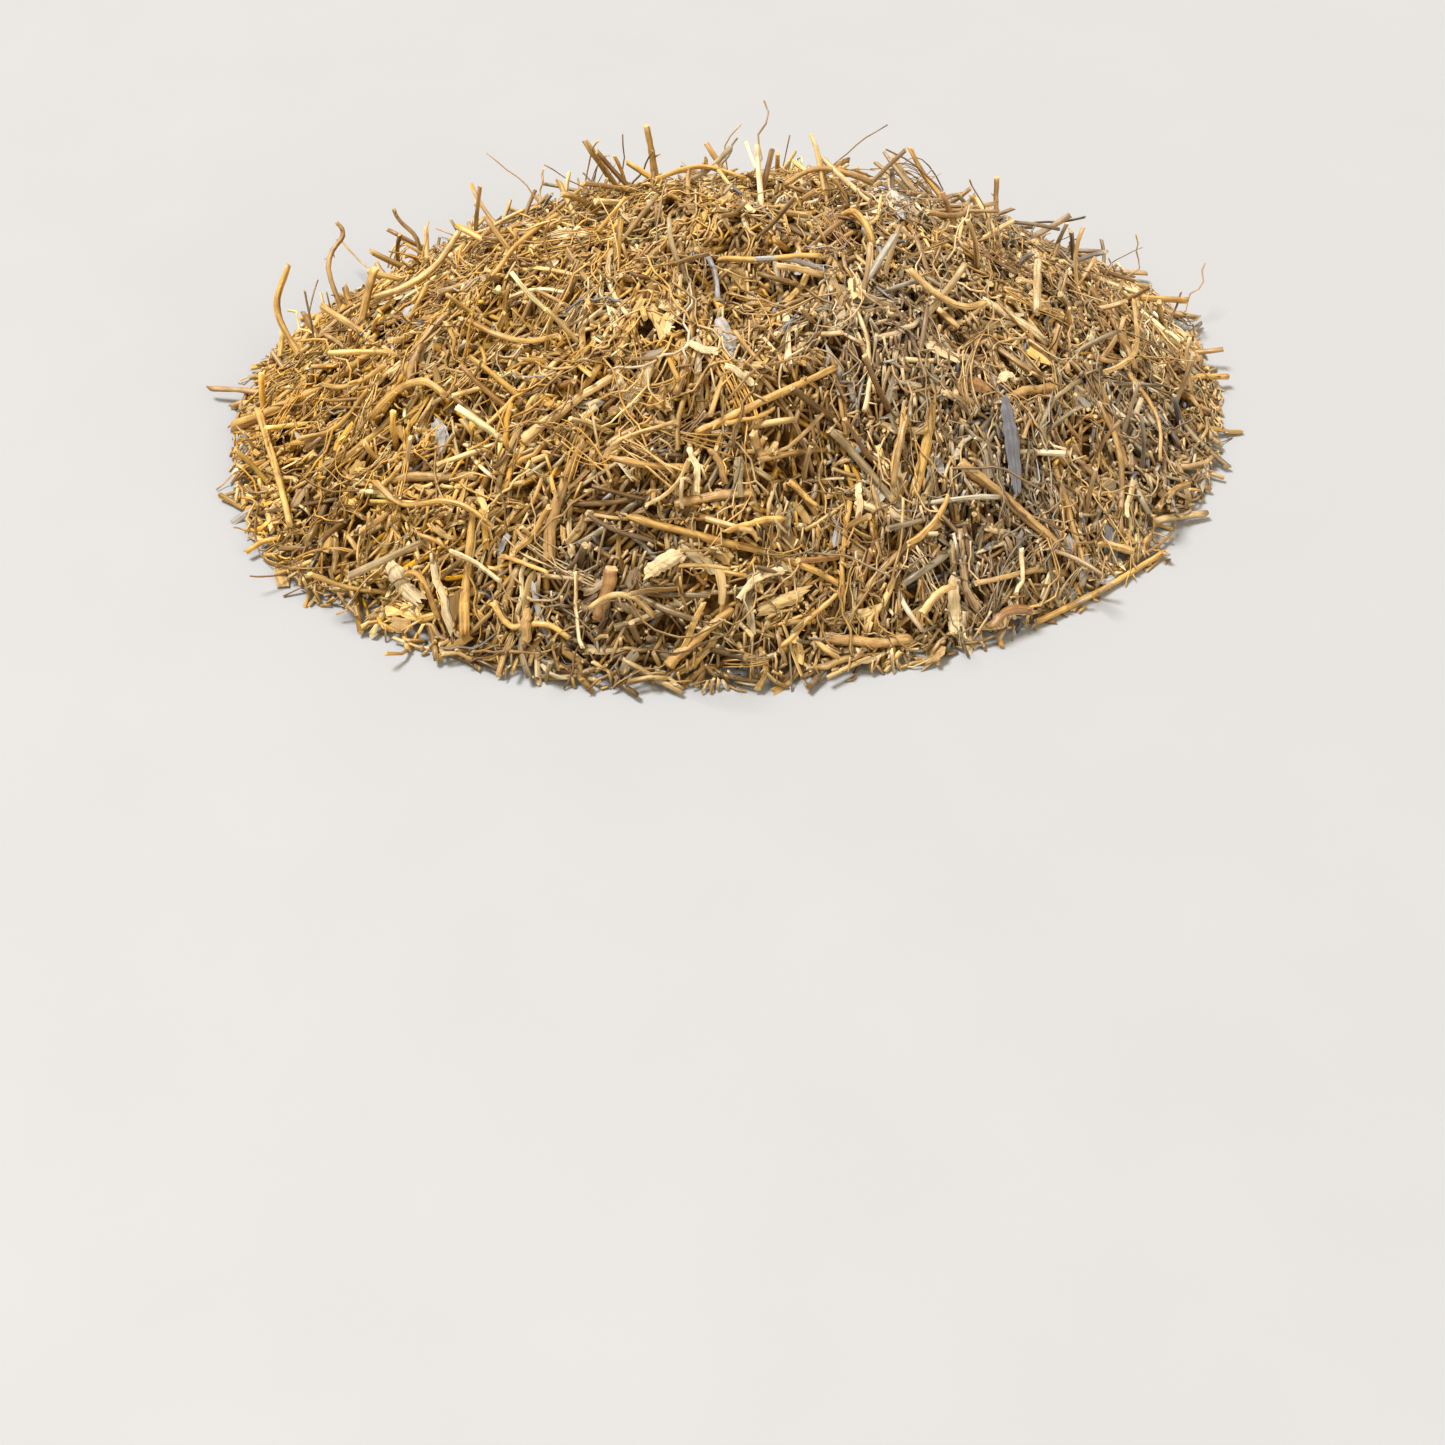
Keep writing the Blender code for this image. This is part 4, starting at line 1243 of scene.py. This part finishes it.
def kind_batch(laid, kind, rng, lean, looks):
    """The tubes of laid pieces of one kind."""
    paths = laid["path"]
    radii = ring_radii(laid["radius"], kind.rings, rng)
    roll = surface_roll(paths, LAID_ROLL, rng)
    return tubes(
        paths, radii, kind.sides, tints(paths, rng, lean), rng,
        flat=laid["flat"], roll=roll, wrinkle=kind.wrinkle, ragged=kind.ragged, **looks,
    )


def finer(path, count):
    """More places along a path, on the Catmull-Rom curve through its points."""
    p = np.asarray(path, float)
    p = np.vstack([2 * p[0] - p[1], p, 2 * p[-1] - p[-2]])
    t = np.linspace(0, len(path) - 1, count)
    i = np.minimum(t.astype(int), len(path) - 2)
    f = (t - i)[:, None]
    a, b, c, d = p[i], p[i + 1], p[i + 2], p[i + 3]
    cubic = (3 * b - a - 3 * c + d) * f**3
    return 0.5 * (2 * b + (c - a) * f + (2 * a - 5 * b + 4 * c - d) * f**2 + cubic)


def link(tree, source, target):
    """Join two sockets."""
    tree.links.new(source, target)


def node(tree, kind, **values):
    """A shader node with some of its inputs or settings set."""
    made = tree.nodes.new(kind)
    for name, value in values.items():
        if hasattr(made, name):
            setattr(made, name, value)
        else:
            made.inputs[name.replace("_", " ")].default_value = value
    return made


def stretched_noise(tree, grain, scale, detail, roughness):
    """Noise over the grain, with its own scale along and across a root."""
    mapping = node(tree, "ShaderNodeMapping", Scale=scale)
    noise = node(tree, "ShaderNodeTexNoise", Scale=1.0, Detail=detail, Roughness=roughness)
    link(tree, grain, mapping.inputs["Vector"])
    link(tree, mapping.outputs[0], noise.inputs["Vector"])
    return noise.outputs["Fac"]


def ramp(tree, fac, stops):
    """A colour ramp over the given stops: a place, and a grey value or a colour."""
    made = node(tree, "ShaderNodeValToRGB")
    elements = made.color_ramp.elements
    while len(elements) < len(stops):
        elements.new(0.5)
    for element, (place_at, value) in zip(elements, stops):
        element.position = place_at
        element.color = (*np.broadcast_to(value, 3), 1)
    link(tree, fac, made.inputs["Fac"])
    return made.outputs["Color"]


def times(tree, a, b):
    """One colour multiplied by another."""
    mix = node(tree, "ShaderNodeMix", data_type="RGBA", blend_type="MULTIPLY")
    mix.inputs[0].default_value = 1.0
    link(tree, a, mix.inputs[6])
    link(tree, b, mix.inputs[7])
    return mix.outputs[2]


def blended(tree, fac, a, b):
    """From one colour, a socket or a tuple, to another by a factor."""
    mix = node(tree, "ShaderNodeMix", data_type="RGBA")
    link(tree, fac, mix.inputs[0])
    for socket, value in ((mix.inputs[6], a), (mix.inputs[7], b)):
        if isinstance(value, tuple):
            socket.default_value = (*value, 1)
        else:
            link(tree, value, socket)
    return mix.outputs[2]


def blank_material(name, roughness, specular):
    """A Principled material, and its tree, shader, grain and tint sockets."""
    made = bpy.data.materials.new(name)
    made.use_nodes = True
    tree = made.node_tree
    shader = tree.nodes["Principled BSDF"]
    shader.inputs["Roughness"].default_value = roughness
    shader.inputs["Specular IOR Level"].default_value = specular
    grain = node(tree, "ShaderNodeAttribute", attribute_name="grain").outputs["Vector"]
    tint = node(tree, "ShaderNodeAttribute", attribute_name="tint").outputs["Color"]
    return made, tree, shader, grain, tint


def relief(tree, shader, height, depth, strength=1.0):
    """Bump from a height, with its depth in mm."""
    bump = node(tree, "ShaderNodeBump", Strength=strength, Distance=depth * MM)
    link(tree, height, bump.inputs["Height"])
    link(tree, bump.outputs["Normal"], shader.inputs["Normal"])


def grained_material(name, roughness, specular, noises, depth, strength=1.0, gloss=None):
    """A tinted material with noises along its grain, the first of which is its relief.

    Each noise has its scale, detail, roughness and the stops of its colour ramp. Gloss is the
    stops from the second noise to the surface's roughness.
    """
    made, tree, shader, grain, colour = blank_material(name, roughness, specular)
    facs = [stretched_noise(tree, grain, *noise[:3]) for noise in noises]
    for fac, noise in zip(facs, noises):
        colour = times(tree, colour, ramp(tree, fac, noise[3]))
    link(tree, colour, shader.inputs["Base Color"])
    if gloss:
        link(tree, ramp(tree, facs[1], gloss), shader.inputs["Roughness"])
    relief(tree, shader, facs[0], depth, strength)
    return made


def bark_material():
    """Dried root bark: satin, streaked and wrinkled along its length, with dark specks."""
    streak = ((0.10, 3, 3), 4, 0.6, [(0.34, (0.44, 0.37, 0.28)), (0.50, 0.93), (0.68, 1.06)])
    patch = ((0.28, 0.5, 0.5), 2, 0.6, [(0.32, (0.66, 0.58, 0.48)), (0.55, 1.0)])
    speck = ((2.2, 4, 4), 3, 0.7, [(0.30, 0.55), (0.42, 1.0)])
    gloss = [(0.3, 0.56), (0.6, 0.34)]
    noises = [streak, patch, speck]
    return grained_material("Dried root bark", 0.45, 0.5, noises, 0.16, 0.9, gloss)


def cut_material():
    """A cut end: pale, dry and pithy."""
    made, tree, shader, grain, tint = blank_material("Cut root end", 0.85, 0.2)
    pores = stretched_noise(tree, grain, (5, 5, 5), 3, 0.6)
    pith = ramp(tree, pores, [(0.35, 0.35), (0.65, 0.75)])
    pale = blended(tree, pith, tint, (0.72, 0.55, 0.30))
    colour = times(tree, pale, ramp(tree, pores, [(0.3, 0.6), (0.5, 1.0)]))
    link(tree, colour, shader.inputs["Base Color"])
    relief(tree, shader, pores, 0.12)
    return made


def split_material():
    """The split inside of a root: pale wood with fine fibres."""
    fibre = ((0.12, 6, 6), 5, 0.7, [(0.34, 0.45), (0.5, 0.95), (0.7, 1.0)])
    stain = ((0.3, 0.8, 0.8), 2, 0.6, [(0.35, 0.7), (0.6, 1.0)])
    return grained_material("Split root wood", 0.7, 0.3, [fibre, stain], 0.12)


def papery_material():
    """Thin dry bark: papery, with fine veins along it."""
    vein = ((0.15, 4, 4), 3, 0.6, [(0.35, 0.6), (0.6, 1.0)])
    return grained_material("Papery bark", 0.6, 0.35, [vein], 0.08)


def inner_material():
    """The bed's inside between the roots: rough and crumbly, coloured dark brown as painted shade
    for the deep gaps.
    """
    made, tree, shader, _, _ = blank_material("Painted shade inside the bed", 0.95, 0.1)
    place_of = node(tree, "ShaderNodeTexCoord").outputs["Object"]
    crumbs = node(tree, "ShaderNodeTexNoise", Scale=900.0, Detail=4.0)
    link(tree, place_of, crumbs.inputs["Vector"])
    fac = crumbs.outputs["Fac"]
    # Painted shade: a dark brown and a lighter brown, mixed in a crumbly pattern
    dark, dusty = (0.11, 0.054, 0.017), (0.30, 0.16, 0.052)
    colour = blended(tree, ramp(tree, fac, [(0.4, 0), (0.65, 1)]), dark, dusty)
    link(tree, colour, shader.inputs["Base Color"])
    relief(tree, shader, fac, 0.6)
    return made


def inner_piece(material):
    """The bed's inside, coloured dark as painted shade, as a closed relief on a flat base."""
    share = np.linspace(0, 1, INNER_RINGS + 1)[1:] ** 0.8
    around = np.linspace(0, 2 * math.pi, INNER_SPOKES, endpoint=False)
    cos, sin = np.cos(around), np.sin(around)
    reach = INNER_REACH * share[:, None] / edge_shares(cos, sin)[None, :]
    x, y = reach * cos, reach * sin
    z = np.maximum(inner_heights(x, y, np.random.default_rng(SEED)), LEAST_INNER)
    top = np.stack([x, y, z], axis=-1).reshape(-1, 3)
    rim = np.stack([x[-1], y[-1], 0 * x[-1]], axis=-1)
    peak = inner_heights(np.zeros(1), np.zeros(1), np.random.default_rng(SEED))
    verts = np.concatenate([[[0, 0, peak[0]]], top, rim]) * MM
    spokes = range(INNER_SPOKES)
    pairs = [(a, (a + 1) % INNER_SPOKES) for a in spokes]
    faces = [(0, 1 + a, 1 + b) for a, b in pairs]
    for ring in range(INNER_RINGS):
        low = 1 + ring * INNER_SPOKES
        high = low + INNER_SPOKES
        faces += [(low + a, high + a, high + b, low + b) for a, b in pairs]
    faces.append([1 + INNER_RINGS * INNER_SPOKES + a for a in reversed(spokes)])
    mesh = bpy.data.meshes.new("bed_inside")
    mesh.from_pydata(verts.tolist(), [], faces)
    mesh.materials.append(material)
    return riding("bed_inside", mesh, ["cut_root_heap"])


def in_mm(path):
    """A path in metres as an array in mm."""
    return np.array([tuple(p) for p in path]) / MM


def one_tint(colour, rng):
    """The base colour of one piece, a little lighter or darker."""
    return np.array([COLOURS[colour]]) * math.exp(rng.normal(0, TINT_SPREAD))


def wandering(path, rng, size):
    """A path with small smooth kinks, and with its ends kept."""
    count = len(path)
    share = np.linspace(0, 1, count)
    shift = np.zeros((count, 3))
    for turns in (2, 3, 5, 9):
        phase = rng.uniform(0, 2 * math.pi, 3)
        shift += np.sin(turns * math.pi * share[:, None] + phase) / turns
    return path + size * shift * np.sin(math.pi * share)[:, None] ** 0.5


def stubs(path, radii, rng, tint, spacing=5.0):
    """Short broken stubs of side rootlets along a root."""
    length = np.linalg.norm(np.diff(path, axis=0), axis=1).sum()
    count = int(length / spacing * rng.uniform(0.5, 1.5))
    if not count:
        return []
    at = rng.uniform(1, len(path) - 2, count).astype(int)
    way = unit(path[at + 1] - path[at])
    out = unit(np.cross(way, rng.normal(0, 1, (count, 3))))
    out = unit(out + way * rng.uniform(-0.6, 0.6, (count, 1)))
    reach = rng.uniform(0.6, 1.6, count)[:, None, None]
    run = np.linspace(0, 1, 3)[None, :, None]
    paths = path[at][:, None] + out[:, None] * (reach * run + 0.6 * radii[at][:, None, None])
    size = 0.3 * radii[at][:, None] * np.array([1.5, 0.9, 0.55])
    return [tubes(paths, size, 5, np.tile(tint, (count, 1)), rng, ragged=0.4)]


def one_root(path, thick, thin, rng, colour, rings=26, sides=12, wander=0.2):
    """The arrays of one longer root from its thick to its thin end, sizes in mm."""
    fine = wandering(finer(path, rings), rng, wander)
    share = np.linspace(0, 1, rings)
    radii = 0.5 * (thick + (thin - thick) * share)
    swell = 0.05 * np.sin(share * rng.uniform(9, 20) + rng.uniform(0, 6))
    radii = radii * (1 + swell + rng.normal(0, 0.025, rings))
    tint = one_tint(colour, rng)
    root = tubes(fine[None], radii[None], sides, tint, rng, wrinkle=0.08, ragged=0.2)
    return [root, *stubs(fine, radii, rng, tint)]


def one_plate(path, wide, narrow, thickness, rng, colour, side):
    """The arrays of one sliver or flake whose path runs wide / 2 over its underside."""
    centre = in_mm(path)
    middle = centre[len(centre) // 2]
    normal = core_slopes(middle[0], middle[1])
    centre = finer(centre - normal * (wide - thickness) / 2, PLATE_RINGS)
    share = np.linspace(-1, 1, PLATE_RINGS)
    half = 0.5 * (wide + (narrow - wide) * np.abs(share) ** 3)
    half = half * (1 + rng.normal(0, 0.09, PLATE_RINGS))
    tint = one_tint(colour, rng)
    return tubes(
        centre[None], half[None], 14, tint, rng,
        flat=np.array([0.75 * thickness / wide]), roll=surface_roll(centre[None], 0, rng),
        wrinkle=0.12, ragged=1.1, slant=0.8, arch=PLATE_ARCH, faces=(side, side), smooth=False,
    )


def fixed_roots(placed, rng):
    """The roots and plates at fixed places: name -> (batches, slot, centre line, radius)."""
    found = {}
    for number, (thick, thin, places, side_end) in enumerate(FORKED_ROOTS, 1):
        path = lying_path(places, thick * MM / 2, placed)
        start = path[len(path) // 4]
        twig = [start.lerp(place(*side_end), i / 4) for i in range(5)]
        placed.add(twig, thin * MM / 2)
        batches = one_root(in_mm(path), thick, thin, rng, "golden")
        batches += one_root(in_mm(twig), thin, 0.8 * thin, rng, "golden", rings=14, sides=10)
        found[f"forked_root_{number:02d}"] = (batches, "golden_root", in_mm(path), thick / 2)
    for kind, table, slot, colours, thickness, side in FIXED_KINDS:
        for number, (wide, narrow, places) in enumerate(table, 1):
            path = lying_path(places, wide * MM / 2, placed)
            colour = colours[(number - 1) % len(colours)]
            if thickness:
                batches = [one_plate(path, wide, narrow, thickness / MM, rng, colour, side)]
            else:
                batches = one_root(in_mm(path), wide, narrow, rng, colour)
            found[f"{kind}_{number:02d}"] = (batches, slot, in_mm(path), wide / 2)
    return found


def bed_batch(placed, rng):
    """The bed's own cut roots, slightly bent, with their centre lines and radii in mm."""
    roots = bed_roots(placed)
    foot = in_mm([root[0] for root in roots])
    tip = in_mm([root[1] for root in roots])
    wide = np.array([root[2:4] for root in roots]) / MM * ROUND_SHARE
    share = np.linspace(0, 1, BED_RINGS)[None, :, None]
    paths = foot[:, None] + (tip - foot)[:, None] * share
    way = unit(tip - foot)
    side = unit(np.cross(way, rng.normal(0, 1, way.shape)))
    length = np.linalg.norm(tip - foot, axis=1)
    bend = (rng.normal(0, BED_BEND, len(roots)) * length)[:, None, None]
    wave = (rng.normal(0, BED_WAVE, len(roots)) * length)[:, None, None]
    paths = paths + side[:, None] * bend * np.sin(math.pi * share)
    paths = paths + np.cross(way, side)[:, None] * wave * np.sin(2 * math.pi * share)
    radii = wide[:, :1] + (wide[:, 1:] - wide[:, :1]) * share[..., 0]
    radii = radii * (1 + rng.normal(0, 0.05, radii.shape))
    colour = tints(paths, rng, {})
    return tubes(paths, radii, 8, colour, rng, wrinkle=0.06, ragged=0.25), paths, radii


def stray_batches(strays, rng):
    """The roots that stand out of the bed, as smooth tapered roots."""
    batches = []
    for (diameter, _), corners in zip(STRAYS, strays):
        thin = diameter * STRAY_TAPER ** (len(corners) - 1)
        colour = "golden" if diameter > 1 else "tan"
        path = in_mm(corners)
        batches += one_root(path, diameter, thin, rng, colour, rings=16, sides=9, wander=0.15)
    return batches


def loose_batches(pile, rng):
    """The other pieces that can be told apart, each bent to the bed under it."""
    batches = []
    for diameter, flat, colour, places in LOOSE_PIECES:
        radius = diameter / 2
        whole = flat > FLATTISH
        plan = wandering(finer([(x, y, 0) for x, y in places], LOOSE_RINGS), rng, 0.25)
        x, y = plan[:, 0], plan[:, 1]
        run = np.concatenate([[0], np.cumsum(np.hypot(np.diff(x), np.diff(y)))])
        z = eased(run, pile.supports(x, y, radius, radius * flat), LOOSE_SETTLED)
        path = np.stack([x, y, z], axis=1)
        pile.cover(*dense(path).T, radius, radius * flat)
        radii = ring_radii(np.array([radius]), LOOSE_RINGS, rng, (0.7, 0.95), 0.03)
        tint = one_tint(colour, rng)
        roll = surface_roll(path[None], 10, rng)
        batches.append(tubes(
            path[None], radii, 10, tint, rng, flat=np.array([flat]), roll=roll,
            wrinkle=0.1, ragged=0.5, faces=(BARK, CUT) if whole else (SPLIT, SPLIT), smooth=whole,
        ))
        if whole:
            batches += stubs(path, radii[0], rng, tint, 8.0)
    return batches


def lay_bed(fixed, bed_paths, bed_radii, rng):
    """Fill the bed: the laid pieces by name, the loose roots' batches and the shreds."""
    pile = Pile()
    for _, _, path, radius in fixed.values():
        pile.mark_above(*dense(path).T, radius)
    laid = {name: [lay(pile, layer, rng)] for name, layer in LAYERS_UNDER.items()}
    for path, radii in zip(bed_paths, bed_radii):
        radius = float(radii.mean())
        pile.cover(*dense(path).T, radius, radius)
    for name, layer in LAYERS_OVER.items():
        dusty = CRUMB_DUST if name == "crumbs" else 0
        laid[name] = [lay(pile, layer, rng, dusty=dusty)]
    frayed = shreds(pile, rng)
    for _, _, path, radius in fixed.values():
        pile.cover(*dense(path).T, radius, radius)
    pile.ceiling[:] = np.inf
    loose = loose_batches(pile, rng)
    laid["hair_roots"] = [lay(pile, HAIR_LAYER, rng, drape=HAIR_DRAPE)]
    for name, (kind, count, slants) in STANDING.items():
        laid[name].append(poked(pile, kind, count, slants, rng))
    return laid, loose, frayed


def add_light(name, strength, width, position, colour):
    """An even light from one side, as wide in the sky as the given angle in degrees."""
    data = bpy.data.lights.new(name, "SUN")
    data.energy = strength
    data.angle = math.radians(width)
    data.color = colour
    obj = linked(name, data)
    obj.location = position
    obj.rotation_euler = (-Vector(position)).to_track_quat("-Z", "Y").to_euler()


def add_world():
    """Plain pale surroundings."""
    world = bpy.data.worlds.new("Plain studio")
    world.use_nodes = True
    back = world.node_tree.nodes["Background"]
    back.inputs["Color"].default_value = (*WORLD_COLOUR, 1)
    back.inputs["Strength"].default_value = WORLD_STRENGTH
    bpy.context.scene.world = world


def add_floor():
    """A plain pale floor."""
    made = bpy.data.materials.new("Plain pale floor")
    made.use_nodes = True
    tree = made.node_tree
    shader = tree.nodes["Principled BSDF"]
    shader.inputs["Roughness"].default_value = 0.7
    noise = node(tree, "ShaderNodeTexNoise", Scale=40.0, Detail=3.0)
    link(tree, node(tree, "ShaderNodeTexCoord").outputs["Object"], noise.inputs["Vector"])
    colour = blended(tree, noise.outputs["Fac"], *FLOOR_COLOURS)
    link(tree, colour, shader.inputs["Base Color"])
    mesh = bpy.data.meshes.new("floor")
    corners = [(-1, -1), (1, -1), (1, 1), (-1, 1)]
    verts = [(x * FLOOR_HALF, y * FLOOR_HALF, 0) for x, y in corners]
    mesh.from_pydata(verts, [], [(0, 1, 2, 3)])
    mesh.materials.append(made)
    linked("floor", mesh)


def add_camera():
    """The camera, in front of the mound and above it, looking at its middle."""
    data = bpy.data.cameras.new("Camera")
    data.sensor_fit = "HORIZONTAL"
    data.angle = math.radians(VIEW_ANGLE)
    data.shift_x, data.shift_y = VIEW_SHIFT
    data.clip_start = 0.01
    obj = linked("Camera", data)
    tilt = math.radians(VIEW_TILT)
    obj.location = (0, -VIEW_DISTANCE * math.cos(tilt), VIEW_DISTANCE * math.sin(tilt))
    obj.rotation_euler = (math.pi / 2 - tilt, 0, 0)
    bpy.context.scene.camera = obj


def main():
    """Build the mound, the floor, the lights and the camera."""
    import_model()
    rng = np.random.default_rng(SEED)
    materials = [bark_material(), cut_material(), split_material(), papery_material()]

    placed = Placed()
    strays = stray_corners(placed)
    fixed = fixed_roots(placed, rng)
    bed, bed_paths, bed_radii = bed_batch(placed, rng)
    laid, loose, frayed = lay_bed(fixed, bed_paths, bed_radii, rng)

    inner_piece(inner_material())
    heap = ["cut_root_heap"]
    new_piece("bed_roots", [bed], materials, heap)
    new_piece("standing_roots", stray_batches(strays, rng), materials, heap)
    for name, (batches, slot, *_) in fixed.items():
        new_piece("fine_" + name, batches, materials, [name])
    new_piece("loose_roots", loose, materials)
    for name, (kind, slot, lean, looks) in LAID_PIECES.items():
        batches = [kind_batch(found, kind, rng, lean, looks) for found in laid[name]]
        new_piece(name, batches, materials)
    new_piece("frayed_roots", [shred_batch(frayed, rng)], materials)

    add_floor()
    add_world()
    bpy.context.scene.view_settings.view_transform = "Standard"
    for name, light in LIGHTS.items():
        add_light(name, *light)
    add_camera()
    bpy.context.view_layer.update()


main()
